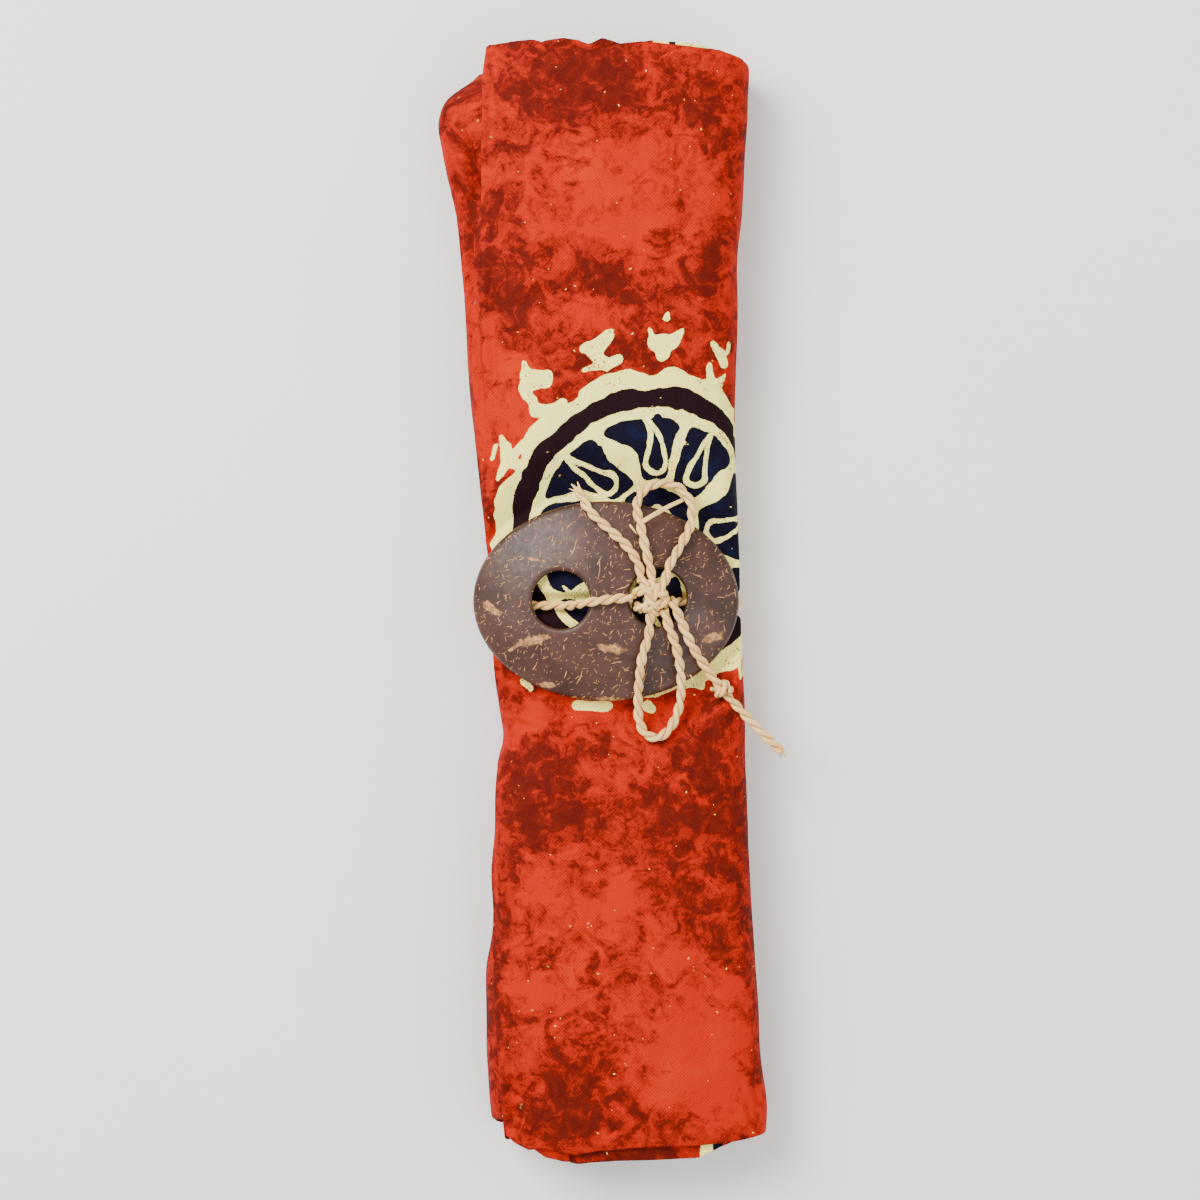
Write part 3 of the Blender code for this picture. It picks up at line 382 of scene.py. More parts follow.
def shell_underside(x, y):
    """Height of the buckle's inner face: a sphere's, below its top by R - sqrt(R^2 - r^2)."""
    reach = np.clip((x - SHELL_X) ** 2 + (y - SHELL_Y) ** 2, 0.0, SHELL_REACH ** 2)
    return SHELL_UNDERSIDE_Z - SHELL_RADIUS + np.sqrt(SHELL_RADIUS ** 2 - reach)


def press_limit(x, y):
    """Highest the cloth may stand: just under the buckle, and rising from its rim outwards."""
    dx = x - SHELL_X
    dy = y - SHELL_Y
    half_length = SHELL_HALF_LENGTH + PRESS_MARGIN
    half_width = SHELL_HALF_WIDTH + PRESS_MARGIN
    reach = np.maximum(np.hypot(dx / half_length, dy / half_width), 1.0)
    rim = shell_underside(SHELL_X + dx / reach, SHELL_Y + dy / reach)
    return rim - PRESS_CLEARANCE + PRESS_RISE * (reach - 1.0) * half_width


def lower_of(first, second):
    """The lower of two heights, with the corner rounded by a soft minimum."""
    least = np.minimum(first, second)
    spread = np.exp((least - first) / PRESS_SOFTNESS) + np.exp((least - second) / PRESS_SOFTNESS)
    return least - PRESS_SOFTNESS * np.log(spread)


def rest_rise(x, y):
    """How far the underside is off the floor: a little, growing outwards from its flat field."""
    inset = REST_HOLLOW * (1.0 - np.clip(y / REST_HALF_LENGTH, -1.0, 1.0) ** 2)
    beside = np.maximum(REST_LEFT + inset - x, x - REST_RIGHT + inset)
    outside = np.hypot(np.maximum(beside, 0.0), np.maximum(np.abs(y) - REST_HALF_LENGTH, 0.0))
    return REST_RISE * (1.0 - np.exp(-outside * REST_SLOPE / REST_RISE))


def section_point(along, angle, shrink=0.0, left_shrink=0.0, side_shrink=0.0):
    """x and z of the section at an angle: a superellipse with a pressed top and a flat bottom."""
    cosine = np.cos(angle)
    sine = np.sin(angle)
    on_left = cosine < 0.0
    width_left = SPINE_X - station("left", along) - shrink - left_shrink - side_shrink
    width_right = station("right", along) - SPINE_X - shrink - side_shrink
    width = np.where(on_left, width_left, width_right)
    roundness = np.where(on_left, station("roundness", along), RIGHT_ROUNDNESS)
    half_height = (station("thick", along) + FLOOR_SINK) / 2.0
    x = SPINE_X + width * np.sign(cosine) * np.abs(cosine) ** (2.0 / roundness)
    swing = np.sign(sine) * np.abs(sine) ** (2.0 / roundness)
    fade = smooth_step((np.abs(cosine) - 0.5) / 0.4)
    layers = shrink + np.where(on_left, left_shrink * fade, 0.0)
    z = half_height - FLOOR_SINK + (half_height - layers) * swing
    pressed = lower_of(z, press_limit(x, along) - CORE_PRESS * shrink)
    rested = np.maximum(z, layers)
    rested = rested + rest_rise(x, along) * smooth_step(1.0 - (rested - layers) / REST_FADE)
    return x, np.where(sine > 0.0, pressed, rested)


def make_skin():
    """Table of sections: x, z, outward direction, length round, and shares of edge and spine."""
    angle = np.linspace(math.pi, -math.pi, SECTION_STEPS + 1)
    skin = {name: [] for name in ("x", "z", "out_x", "out_z", "edge", "spine", "round")}
    for along in TABLE_ALONG:
        x, z = section_point(np.full_like(angle, along), angle)
        steps = np.hypot(np.diff(x), np.diff(z))
        share = np.concatenate(([0.0], np.cumsum(steps))) / steps.sum()
        even_x = np.interp(TABLE_SHARE, share, x)
        even_z = np.interp(TABLE_SHARE, share, z)
        run_x = np.roll(even_x[:-1], -4) - np.roll(even_x[:-1], 4)
        run_z = np.roll(even_z[:-1], -4) - np.roll(even_z[:-1], 4)
        length = np.hypot(run_x, run_z)
        skin["x"].append(even_x)
        skin["z"].append(even_z)
        skin["out_x"].append(np.append(-run_z / length, -run_z[0] / length[0]))
        skin["out_z"].append(np.append(run_x / length, run_x[0] / length[0]))
        left = TABLE_SHARE < 0.25
        top = TABLE_SHARE < 0.45
        skin["edge"].append(np.interp(station("edge", along), even_x[left], TABLE_SHARE[left]))
        skin["spine"].append(np.interp(SPINE_X, even_x[top], TABLE_SHARE[top]))
        skin["round"].append(steps.sum())
    return {name: np.array(values) for name, values in skin.items()}


SKIN = make_skin()


def blend(table, row, column, t, s):
    """A table's value a share t past a row and a share s past a column."""
    low = table[row, column] * (1.0 - s) + table[row, column + 1] * s
    high = table[row + 1, column] * (1.0 - s) + table[row + 1, column + 1] * s
    return low + (high - low) * t


def read_skin(name, share, along):
    """A value of the skin table between its places, by straight lines both ways."""
    row = (np.clip(along, TABLE_ALONG[0], TABLE_ALONG[-1]) - TABLE_ALONG[0]) / TABLE_STEP
    column = np.mod(share, 1.0) * (len(TABLE_SHARE) - 1)
    low = np.clip(row.astype(int), 0, len(TABLE_ALONG) - 2)
    left = np.clip(column.astype(int), 0, len(TABLE_SHARE) - 2)
    return blend(SKIN[name], low, left, row - low, column - left)


def by_row(name, along):
    """A value that the skin table has once for each section."""
    return np.interp(along, TABLE_ALONG, SKIN[name])


def turn_depth(count, along):
    """Depth of a turn's outer face: it steps down one pitch on the left side in each turn."""
    edge = by_row("edge", along)
    start = 1.0 - STEP_LEAD - edge
    first = smooth_step((count - start) / (STEP_LEAD + edge))
    second = smooth_step((count - 1.0 - start) / (STEP_LEAD + edge))
    return PITCH * (first + second)


def hollow_depth(x, y):
    """Depth of the soft hollows in the top, each a dimple with a bell-shaped section."""
    total = np.zeros_like(x)
    for across, along, half_width, half_length, depth in np.array(HOLLOW_ROWS_MM) * MM:
        total += depth * np.exp(-((x - across) / half_width) ** 2 - ((y - along) / half_length) ** 2)
    return total


def groove_depth(along, depth, half_width):
    """Depth of a groove that the cord presses, flat at its middle."""
    return depth * np.exp(-((along - TIE_Y) / half_width) ** 4)


def squeeze_depth(along):
    """How much further in the hidden layers lie where the buckle and the tie press."""
    wide = TURN_SQUEEZE * np.exp(-(along / SQUEEZE_HALF_WIDTH) ** 2)
    return wide + groove_depth(along, TIE_SQUEEZE_DEPTH, TIE_SQUEEZE_HALF_WIDTH)


def cloud(x, y, cell, seed):
    """Soft noise from -1 to 1: random heights on a lattice of cells, blended smoothly between."""
    generator = np.random.default_rng(seed)
    lattice = generator.uniform(-1.0, 1.0, (128, 128))
    lattice[-1] = lattice[0]
    lattice[:, -1] = lattice[:, 0]
    column, row = np.mod(x / cell, 127.0), np.mod(y / cell, 127.0)
    left, low = np.floor(column).astype(int), np.floor(row).astype(int)
    return blend(lattice, low, left, smooth_step(row - low), smooth_step(column - left))


def clouds(x, y, cell, seed, layers=4):
    """Soft noise of several sizes, each half as large and half as strong as the one before."""
    total = np.zeros_like(x)
    for layer in range(layers):
        total += cloud(x, y, cell / 2.0 ** layer, seed + layer) / 2.0 ** layer
    return total / (2.0 - 0.5 ** (layers - 1))


def path_distance(x, y, points):
    """Distance to a broken line, and how far along it the nearest place is, from 0 to 1."""
    points = np.asarray(points, dtype=float)
    lengths = np.linalg.norm(np.diff(points, axis=0), axis=1)
    starts = np.concatenate(([0.0], np.cumsum(lengths)))
    nearest = np.full(x.shape, np.inf)
    place = np.zeros(x.shape)
    for k in range(len(lengths)):
        run = (points[k + 1] - points[k]) / lengths[k]
        along = (x - points[k, 0]) * run[0] + (y - points[k, 1]) * run[1]
        along = np.clip(along, 0.0, lengths[k])
        distance = np.hypot(x - points[k, 0] - run[0] * along, y - points[k, 1] - run[1] * along)
        nearer = distance < nearest
        nearest = np.where(nearer, distance, nearest)
        place = np.where(nearer, (starts[k] + along) / starts[-1], place)
    return nearest, place


def crease_depth(x, y, z, out_x, out_z):
    """Depth of all creases at points of the skin, in metres.

    A crease is a bell-shaped trough along its line with a low ridge on both sides; it fades
    at its ends and where the skin turns away from the face that it lies on.
    """
    total = np.zeros_like(x)
    facing = {"top": (x, out_z), "under": (x, -out_z), "left": (z, -out_x), "right": (z, out_x)}
    for face, half_width, depth, ridge, points in CREASE_ROWS_MM:
        across, outward = facing[face]
        distance, place = path_distance(across / MM, y / MM, points)
        scaled = distance / half_width
        profile = np.exp(-scaled ** 2) - ridge * 0.5 * np.exp(-((scaled - 2.0) / 0.8) ** 2)
        ends = smooth_step(place / CREASE_FADE) * smooth_step((1.0 - place) / CREASE_FADE)
        total += CREASE_GAIN * depth * MM * profile * ends * np.clip(outward * 1.6, 0.0, 1.0)
    return total


def layer_point(share, along, depth):
    """Points of a layer: the skin's points moved inwards by depth, hollows, creases and waves."""
    x, z, out_x, out_z = (read_skin(name, share, along) for name in ("x", "z", "out_x", "out_z"))
    round_about = share * by_row("round", along) / MM
    waves = 0.20 * cloud(round_about, along / MM, 26.0, 3) + 0.10 * cloud(round_about, along / MM, 9.0, 4)
    held = 1.0 - np.exp(-((along - TIE_Y) / HELD_HALF_WIDTH) ** 4)
    under_shell = np.hypot((x - SHELL_X) / SHELL_HALF_LENGTH, (along - SHELL_Y) / SHELL_HALF_WIDTH)
    free = np.where(out_z > 0.2, smooth_step((under_shell - 0.95) / 0.2), 1.0) * held
    inward = depth + smooth_step((z / MM - 8.0) / 8.0) * hollow_depth(x, along)
    inward = inward + free * (crease_depth(x, along, z, out_x, out_z) + waves * MM)
    lowered = np.maximum(z - out_z * inward, np.minimum(depth, z))
    return np.stack((x - out_x * inward, along, lowered), axis=-1)


def end_lines(share, x_far, x_near, far_mm, near_mm, back_mm, back_end):
    """y of a turn's folded edges at both ends: by x where they show, by share behind."""
    wrapped = np.where(share > back_end, share - 1.0, share)
    lines = []
    for column, x, top_mm in ((1, x_far, far_mm), (2, x_near, near_mm)):
        back = np.interp(wrapped, *np.array(back_mm)[:, (0, column)].T)
        lines.append(np.where(wrapped > 0.5, back * MM, np.interp(x, *(np.array(top_mm).T * MM))))
    return lines


def grid_faces(rows, columns, closed=False):
    """Corner numbers of the quads of a grid; closed joins the last column to the first."""
    i, j = np.meshgrid(np.arange(rows - 1), np.arange(columns if closed else columns - 1), indexing="ij")
    following = (j + 1) % columns
    low, high = i * columns, (i + 1) * columns
    return np.stack((low + j, high + j, high + following, low + following), axis=-1).reshape(-1, 4)


def joined(blocks):
    """Blocks of points, faces and further arrays with a row to a point, made into one of each."""
    points, faces, *others = zip(*blocks)
    starts = np.cumsum([0] + [len(block) for block in points])
    faces = [block + start for block, start in zip(faces, starts)]
    return [np.concatenate(parts) for parts in (points, faces, *others)]


def add_piece(name, points, faces, uv=None, material=None, node=None, slot=None, **fields):
    """A smooth mesh piece at the origin, from whole arrays, riding with the part.

    fields are numbers at its points, which its material reads by name.
    """
    points = np.asarray(points, dtype=np.float32).reshape(-1, 3)
    faces = np.asarray(faces, dtype=np.int32)
    data = bpy.data.meshes.new(name)
    data.vertices.add(len(points))
    data.vertices.foreach_set("co", points.ravel())
    data.loops.add(faces.size)
    data.loops.foreach_set("vertex_index", faces.ravel())
    data.polygons.add(len(faces))
    data.polygons.foreach_set("loop_start", np.arange(0, faces.size, faces.shape[1], dtype=np.int32))
    data.polygons.foreach_set("use_smooth", np.ones(len(faces), dtype=bool))
    data.update(calc_edges=True)
    if uv is not None:
        layer = data.uv_layers.new(name="OFBake")
        layer.data.foreach_set("uv", np.asarray(uv, dtype=np.float32).reshape(-1, 2)[faces.ravel()].ravel())
    for field, values in fields.items():
        stored = data.attributes.new(field, "FLOAT", "POINT")
        stored.data.foreach_set("value", np.asarray(values, dtype=np.float32).ravel())
    piece = bpy.data.objects.new(name, data)
    bpy.context.scene.collection.objects.link(piece)
    data.materials.append(material)
    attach(piece, "root")
    if node:
        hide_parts(node)
    return piece


def mend(piece, weld=False, close=False, outwards=False):
    """Joins doubled points, closes open ends, and turns the faces outwards, by the topmost one."""
    mesh = bmesh.new()
    mesh.from_mesh(piece.data)
    if weld:
        bmesh.ops.remove_doubles(mesh, verts=mesh.verts[:], dist=0.002 * MM)
    if close:
        bmesh.ops.holes_fill(mesh, edges=[edge for edge in mesh.edges if edge.is_boundary], sides=0)
    if weld or close:
        bmesh.ops.recalc_face_normals(mesh, faces=mesh.faces[:])
    mesh.normal_update()
    top = max(mesh.faces, key=lambda face: face.calc_center_median().z)
    if outwards and top.normal.z < 0.0:
        bmesh.ops.reverse_faces(mesh, faces=mesh.faces[:])
    mesh.to_mesh(piece.data)
    mesh.free()


# --- The pattern ---

def smooth_most(first, second, reach):
    """The larger of two values, with the corner between them rounded over the reach."""
    share = np.clip(0.5 + 0.5 * (first - second) / reach, 0.0, 1.0)
    return second + (first - second) * share + reach * share * (1.0 - share)


def tear_distance(across, outward, radius, length, tip=0.35):
    """Distance to a teardrop: the hull of a large circle at 0 and a small one at its length."""
    across = np.abs(across)
    slope = (radius - tip) / length
    lean = np.sqrt(1.0 - slope * slope)
    k = -slope * across + lean * outward
    side = across * lean + outward * slope - radius
    low = np.hypot(across, outward) - radius
    high = np.hypot(across, outward - length) - tip
    return np.where(k < 0.0, low, np.where(k > lean * length, high, side))


def capsule_distance(x, y, start, stop, first_radius, second_radius):
    """Distance to a round-ended bar whose radius changes evenly from end to end."""
    run = np.subtract(stop, start)
    length = np.hypot(*run)
    along = np.clip(((x - start[0]) * run[0] + (y - start[1]) * run[1]) / length ** 2, 0.0, 1.0)
    radius = first_radius + (second_radius - first_radius) * along
    return np.hypot(x - start[0] - run[0] * along, y - start[1] - run[1] * along) - radius


def crown_distance(x, y, width, height):
    """Distance to a splash of wax: a round body with two horns above and a hook beside it."""
    half, rise = width / 2.0, height / 2.0
    body, left, right, hook = (
        capsule_distance(x, y, (half * ends[0], rise * ends[1]), (half * ends[2], rise * ends[3]), *radii)
        for ends, radii in (
            ((-0.30, -0.35, 0.34, -0.25), (half * 0.52, half * 0.46)),
            ((-0.45, 0.0, -0.86, 1.0), (half * 0.36, 0.25)),
            ((0.45, 0.0, 0.92, 0.78), (half * 0.34, 0.30)),
            ((0.2, -0.75, 1.25, -0.62), (1.0, 0.5)),
        )
    )
    shape = smooth_most(smooth_most(-body, -left, 0.9), -right, 0.9)
    return np.minimum(-shape, hook)


def ray(degrees):
    """The unit vector at an angle."""
    return np.array((math.cos(math.radians(degrees)), math.sin(math.radians(degrees))))


def pattern_fields(across, along):
    """Wax and ink of the print at places of the unrolled cloth, in millimetres.

    wax is positive where wax kept the cloth cream: the band outside the dark ring, the line
    inside it, dividers between the petals, the outline of a teardrop in each petal, and
    splashes around. ink is the distance from the medallion's centre, with a hand-drawn waver.
    """
    u = across + 0.6 * cloud(across, along, 6.0, 21) + 0.25 * cloud(across, along, 2.4, 26)
    v = along + 0.6 * cloud(across, along, 6.0, 22) + 0.25 * cloud(across, along, 2.4, 27)
    du, dv = u - MEDALLION_X_MM, v - MEDALLION_Y_MM
    angle = np.arctan2(dv, du)
    round_x, round_y = np.cos(angle), np.sin(angle)
    radius, band_edge, ring_edge = (
        base + amount * cloud(reach * round_x + shift, reach * round_y + shift, cell, seed)
        for base, amount, reach, shift, cell, seed in (
            (np.hypot(du, dv), 0.8, 20.0, 40.0, 9.0, 23),
            (BAND_RADIUS_MM, 1.5, 42.0, 60.0, 6.0, 24),
            (RING_RADIUS_MM, 0.6, 30.0, 90.0, 6.0, 28),
        )
    )
    band_edge -= 3.4 * np.exp(-((np.degrees(angle) - 153.0) / 9.0) ** 2)

    def beside(turn):
        """Distance to the side of the ray at an angle, round the medallion."""
        return np.arctan2(np.sin(angle - turn), np.cos(angle - turn)) * radius

    # The net of cream lines: a ring round the hub, a divider between petals, a ring outside
    net = np.minimum(HUB_EDGE_MM - radius, radius - HUB_RADIUS_MM)
    for degrees, twist, half_width, swell, spur_radius, spur in DIVIDER_ROWS:
        turn = math.radians(1.0) * (degrees + twist * (30.0 - radius) / 14.0)
        side = beside(turn)
        ahead = np.cos(angle - turn) > 0.0
        bar = half_width + swell * np.exp(-((radius - 21.0) / 4.2) ** 2) - np.abs(side)
        net = smooth_most(net, np.minimum(np.where(ahead, bar, -9.0), radius - HUB_RADIUS_MM), 1.5)
        tooth = capsule_distance(side, radius, (0.0, spur_radius), (spur, spur_radius + 0.8), 0.8, 0.25)
        net = np.maximum(net, np.where(ahead, -tooth, -9.0))
    net = smooth_most(net, 1.2 - np.abs(radius - NET_RADIUS_MM), 3.4)
    for degrees, low, high, half_width in NOTCH_ROWS:
        side = beside(math.radians(degrees))
        net = np.minimum(net, capsule_distance(side, radius, (0.0, low), (0.6, high), half_width, 0.5))
    wax = np.where(radius < 31.5, net, 32.7 - radius)
    wax = np.maximum(wax, np.minimum(radius - ring_edge, band_edge - radius))
    # A teardrop's outline in each petal
    for base_angle, base_radius, tip_angle, tip_radius, width, bend in TEAR_ROWS:
        base = base_radius * ray(base_angle)
        run = tip_radius * ray(tip_angle) - base
        length = float(np.hypot(*run))
        run = run / length
        outward = (du - base[0]) * run[0] + (dv - base[1]) * run[1]
        side = (dv - base[1]) * run[0] - (du - base[0]) * run[1]
        side = side - bend * outward * (length - outward) * (outward > 0.0)
        wax = np.maximum(wax, 0.68 - np.abs(tear_distance(side, outward, width, length)))
    wax = np.maximum(wax, 0.7 - np.abs(radius - EYE_RADIUS_MM))
    for degrees, distance, width, height, lean, hook in CROWN_ROWS:
        run = ray(degrees)
        x = (du * run[1] - dv * run[0]) * hook
        y = du * run[0] + dv * run[1] - distance
        wax = np.maximum(wax, -crown_distance(x - lean * y, y, width, height))
    # Splashes: the strokes of a group run together, and then into the band
    groups = {}
    for group, x, y, far_x, far_y, first, last in SPLASH_ROWS:
        shape = -capsule_distance(u, v, (x, y), (far_x, far_y), first, last)
        groups[group] = smooth_most(groups[group], shape, 0.9) if group in groups else shape
    for shape in groups.values():
        wax = smooth_most(wax, np.minimum(shape, radius - ring_edge - 0.6), 0.5)
    for x, y, half_length, half_width, degrees in WAX_BIT_ROWS:
        run = ray(degrees) * half_length
        shape = capsule_distance(u, v, (x, y) - run, (x, y) + run, half_width, half_width * 0.6)
        wax = np.maximum(wax, -shape)
    return wax + 0.2 * cloud(across, along, 1.6, 25), radius


def dye_and_crease_shade(across, along):
    """Darkness of the dye, about 0 to 1: smoky clouds drawn out by a warp, and set places.

    Left of the folded edge, streaks along the bundle add painted light and shade of creases.
    """
    warp_x = across + 6.0 * clouds(across, along, 12.0, 31)
    warp_y = along + 6.0 * clouds(across, along, 12.0, 41)
    total = 0.50 + 0.50 * clouds(warp_x, warp_y, 15.0, 51, 5)
    for x, y, half_x, half_y, amount in DYE_ROWS:
        total += amount * np.exp(-(((warp_x - x) / half_x) ** 2 + ((warp_y - y) / half_y) ** 2) ** 1.3)
    # Painted light and shade of creases: streaks along the bundle, left of the folded edge
    crease_light_and_shade = clouds(across + 0.03 * along, along * 0.10, 3.2, 57, 3)
    return total + 0.55 * crease_light_and_shade * smooth_step((-25.0 - across) / 5.0)


# --- Materials ---

class Nodes:
    """Short ways to add the nodes of one material and join them."""

    def __init__(self, name):
        self.material = bpy.data.materials.new(name)
        self.material.use_nodes = True
        self.tree = self.material.node_tree

    def put(self, socket, value):
        """Links a node's output to a socket, or sets the socket's own value."""
        if isinstance(value, bpy.types.NodeSocket):
            self.tree.links.new(value, socket)
        else:
            socket.default_value = (*value, 1.0) if socket.type == "RGBA" else value

    def fill(self, node, values):
        """Puts values into a node's inputs, by number or by name, and returns its outputs."""
        for key, value in values.items():
            self.put(node.inputs[key], value)
        return node.outputs

    def add(self, kind, settings=None, *values, **inputs):
        """A node of a kind with its settings, its first inputs in order and others by name."""
        node = self.tree.nodes.new("ShaderNode" + kind)
        for key, value in (settings or {}).items():
            setattr(node, key, value)
        return self.fill(node, {**dict(enumerate(values)), **inputs})

    def maths(self, operation, *values):
        """A Math node."""
        return self.add("Math", {"operation": operation}, *values)[0]

    def plus(self, first, second):
        """A sum."""
        return self.maths("ADD", first, second)

    def times(self, first, second):
        """A product."""
        return self.maths("MULTIPLY", first, second)

    def off(self, value, middle=0.5):
        """How far a value is above a middle one."""
        return self.maths("SUBTRACT", value, middle)

    def vector(self, operation, *values):
        """A Vector Math node."""
        return self.add("VectorMath", {"operation": operation}, *values)

    def mix(self, share, first, second, blend_type="MIX"):
        """A colour mix of two colours."""
        node = self.add("Mix", {"data_type": "RGBA", "blend_type": blend_type})[2].node
        return self.fill(node, {0: share, 6: first, 7: second})[2]

    def span(self, value, low, high, to_low=0.0, to_high=1.0):
        """Maps a value from one range to another with level ends."""
        settings = {"interpolation_type": "SMOOTHSTEP"}
        return self.add("MapRange", settings, value, low, high, to_low, to_high)[0]

    def noise(self, vector, scale, detail=3.0, roughness=0.5, distortion=0.0, output=0):
        """A noise texture."""
        return self.add("TexNoise", None, Vector=vector, Scale=scale, Detail=detail,
                        Roughness=roughness, Distortion=distortion)[output]

    def bent(self, vector, scale, reach):
        """A vector pushed about by noise."""
        push = self.noise(vector, scale, 2.0, output=1)
        return self.vector("MULTIPLY_ADD", push, (reach, reach, 0.0), vector)[0]

    def mapped(self, vector, scale=(1.0, 1.0, 1.0), turn=0.0):
        """A vector turned about Z and scaled."""
        return self.add("Mapping", None, Vector=vector, Scale=scale, Rotation=(0.0, 0.0, turn))[0]

    def fleck(self, vector, scale, half_length, half_width, share, turn=0.0, spread=6.0):
        """Short strokes: one in a share of the cells, at a random turn, about its cell's point."""
        cells = self.add("TexVoronoi", {"voronoi_dimensions": "2D"}, Vector=vector, Scale=scale)
        away = self.vector("SUBTRACT", vector, cells["Position"])[0]
        picks = self.add("SeparateColor", None, cells["Color"])
        angle = self.maths("MULTIPLY_ADD", picks[0], spread, turn - spread / 2.0)
        split = self.add("SeparateXYZ", None, self.add(
            "VectorRotate", {"rotation_type": "Z_AXIS"}, Vector=away, Angle=angle)[0])
        length, width = (self.maths("DIVIDE", self.maths("ABSOLUTE", split[k]), half)
                         for k, half in enumerate((half_length, half_width)))
        reach = self.maths("MAXIMUM", length, self.plus(width, self.times(length, 0.3)))
        return self.times(self.span(reach, 1.1, 0.8), self.maths("GREATER_THAN", picks[2], share))

    def field(self, name):
        """A number stored at the piece's points."""
        return self.add("Attribute", {"attribute_name": name})[2]

    def uv(self):
        """The piece's own map, in metres over its surface."""
        return self.add("UVMap", {"uv_map": "OFBake"})[0]

    def place(self):
        """Object coordinates."""
        return self.add("TexCoord")[3]

    def bump(self, height, strength, distance, normal=None):
        """A normal bent by a height, on top of another if one is given."""
        below = {"Normal": normal} if normal else {}
        return self.add("Bump", None, Strength=strength, Distance=distance, Height=height, **below)[0]

    def finish(self, colour, roughness, specular, normal=None, **others):
        """Joins what is given to the material's surface and returns the material."""
        values = {"Base Color": colour, "Roughness": roughness, "Specular IOR Level": specular, **others}
        self.fill(self.tree.nodes["Principled BSDF"], {**values, **({"Normal": normal} if normal else {})})
        return self.material


def batik_material(name, look):
    """Hand-dyed rayon: dye clouds, cream wax-resist places, dark ink, specks and plain weave with painted
    shade between its threads.
    """
    n = Nodes(name)
    # The dye field holds the dye's darkness and, on some pieces, painted light and shade as well
    uv, dye, wax, ink = n.uv(), n.field("dye"), n.field("wax"), n.field("ink")
    fine = n.noise(uv, 1300.0, 4.0, 0.6)
    dark = dye
    for noise, gain in (
        (n.noise(uv, 150.0, 6.0, 0.58, 1.2), 2.3),
        (n.noise(uv, 430.0, 6.0, 0.62, 0.9), 0.9),
        (fine, 0.30),
    ):
        dark = n.plus(dark, n.times(n.off(noise), gain))
    veins = n.maths("ABSOLUTE", n.off(n.noise(uv, 210.0, 5.0, 0.55, 1.8)))
    dark = n.plus(dark, n.span(veins, 0.0, 0.05, 0.16, 0.0))
    smoke = n.noise(uv, 250.0, 7.0, 0.68, 0.8)
    shade = n.mix(n.span(smoke, 0.36, 0.62), look.dark_dye, look.deep_dye)
    shade = n.mix(n.span(smoke, 0.46, 0.34, 0.0, 0.75), shade, look.middle_dye)
    red = n.mix(n.span(dark, 0.16, 0.50), look.bright_dye, look.middle_dye)
    red = n.mix(n.span(dark, 0.46, 0.84), red, shade)
    edge = n.span(n.maths("ABSOLUTE", n.off(dark, 0.66)), 0.05, 0.0, 0.0, 0.35)
    red = n.mix(edge, red, look.deep_dye)
    glow = n.times(n.span(n.noise(uv, 60.0), 0.50, 0.72), n.span(dark, 0.5, 0.1, 0.0, 0.6))
    red = n.mix(glow, red, look.orange_dye)
    inked = n.mix(n.span(ink, 31.6, 32.2), look.navy_ink, look.ring_ink)
    blue = n.times(n.span(n.noise(uv, 130.0, 4.0, 0.6), 0.52, 0.72, 0.0, 0.8), n.span(ink, 31.0, 30.0))
    ground = n.mix(n.span(ink, 39.2, 39.8), n.mix(blue, inked, look.blue_ink), red)
    kept = n.span(n.plus(wax, n.times(n.off(n.noise(uv, 2200.0)), 0.45)), -0.08, 0.10)
    region = n.noise(uv, 110.0, 3.0, 0.6)
    specks = n.times(n.fleck(uv, 900.0, 0.34 * MM, 0.22 * MM, 0.45), n.span(region, 0.50, 0.62))
    blots = n.times(n.span(n.noise(uv, 700.0, 3.0, 0.6), 0.56, 0.68), n.span(region, 0.53, 0.66, 0.0, 0.8))
    stain = n.times(n.span(n.noise(uv, 260.0, 3.0, 0.6), 0.54, 0.74), 0.35)
    cream = n.mix(stain, look.cream, look.cream_shade)
    cream = n.mix(n.maths("MAXIMUM", specks, blots), cream, look.wax_speck)
    bent = n.bent(uv, 1500.0, 0.6 * MM)
    crumb = n.fleck(bent, 95.0, 0.30 * MM, 0.18 * MM, 0.84)
    grain = n.fleck(bent, 330.0, 0.14 * MM, 0.12 * MM, 0.95)
    gold = n.times(n.fleck(bent, 520.0, 0.40 * MM, 0.30 * MM, 0.55), n.span(region, 0.66, 0.70))
    ground = n.mix(gold, n.mix(n.maths("MAXIMUM", crumb, grain), ground, look.cream_shade), look.wax_speck)
    # Plain weave: two sets of threads that rise over each other in turn, uneven in thickness, with painted
    # shade between the threads
    slub = n.times(n.off(n.noise(uv, 500.0, 4.0, 0.6)), 2.4)
    split = n.add("SeparateXYZ", None, uv)
    threads = [n.maths("SINE", n.plus(n.times(split[k], math.pi / look.thread_pitch), slub)) for k in (0, 1)]
    weave = n.times(*threads)
    shade = n.span(weave, -1.0, 1.0, 0.0, WEAVE_SHADE)
    colour = n.mix(shade, n.mix(kept, ground, cream), WEAVE_GAP_SHADE_COLOUR, "MULTIPLY")
    puckers = n.noise(n.mapped(uv, (1.0, 0.7, 1.0)), 170.0, 5.0, 0.6, 0.5)
    normal = n.bump(puckers, 0.5, 1.4 * MM, n.bump(weave, 0.4, 0.12 * MM))
    return n.finish(colour, n.span(fine, 0.2, 0.8, 0.62, 0.82), 0.3, normal, IOR=1.2)


# Bare patches of the buckle: x, y, half length, half width, turn
PATCH_ROWS_MM = (
    (-28, -0.8, 3.2, 1.2, -0.72), (-17.4, -9.6, 5.4, 1.5, 0.22), (3, -11.9, 4.4, 1.3, -0.16),
    (-14.2, -21, 2.8, 0.9, -0.05), (3.4, -24.6, 4.8, 1.1, 0), (-23, -11.8, 2.4, 0.8, 0.5),
    (-16.6, 12.2, 3, 0.45, -0.12), (29.6, -8.2, 2.6, 1.5, 0.3),
)


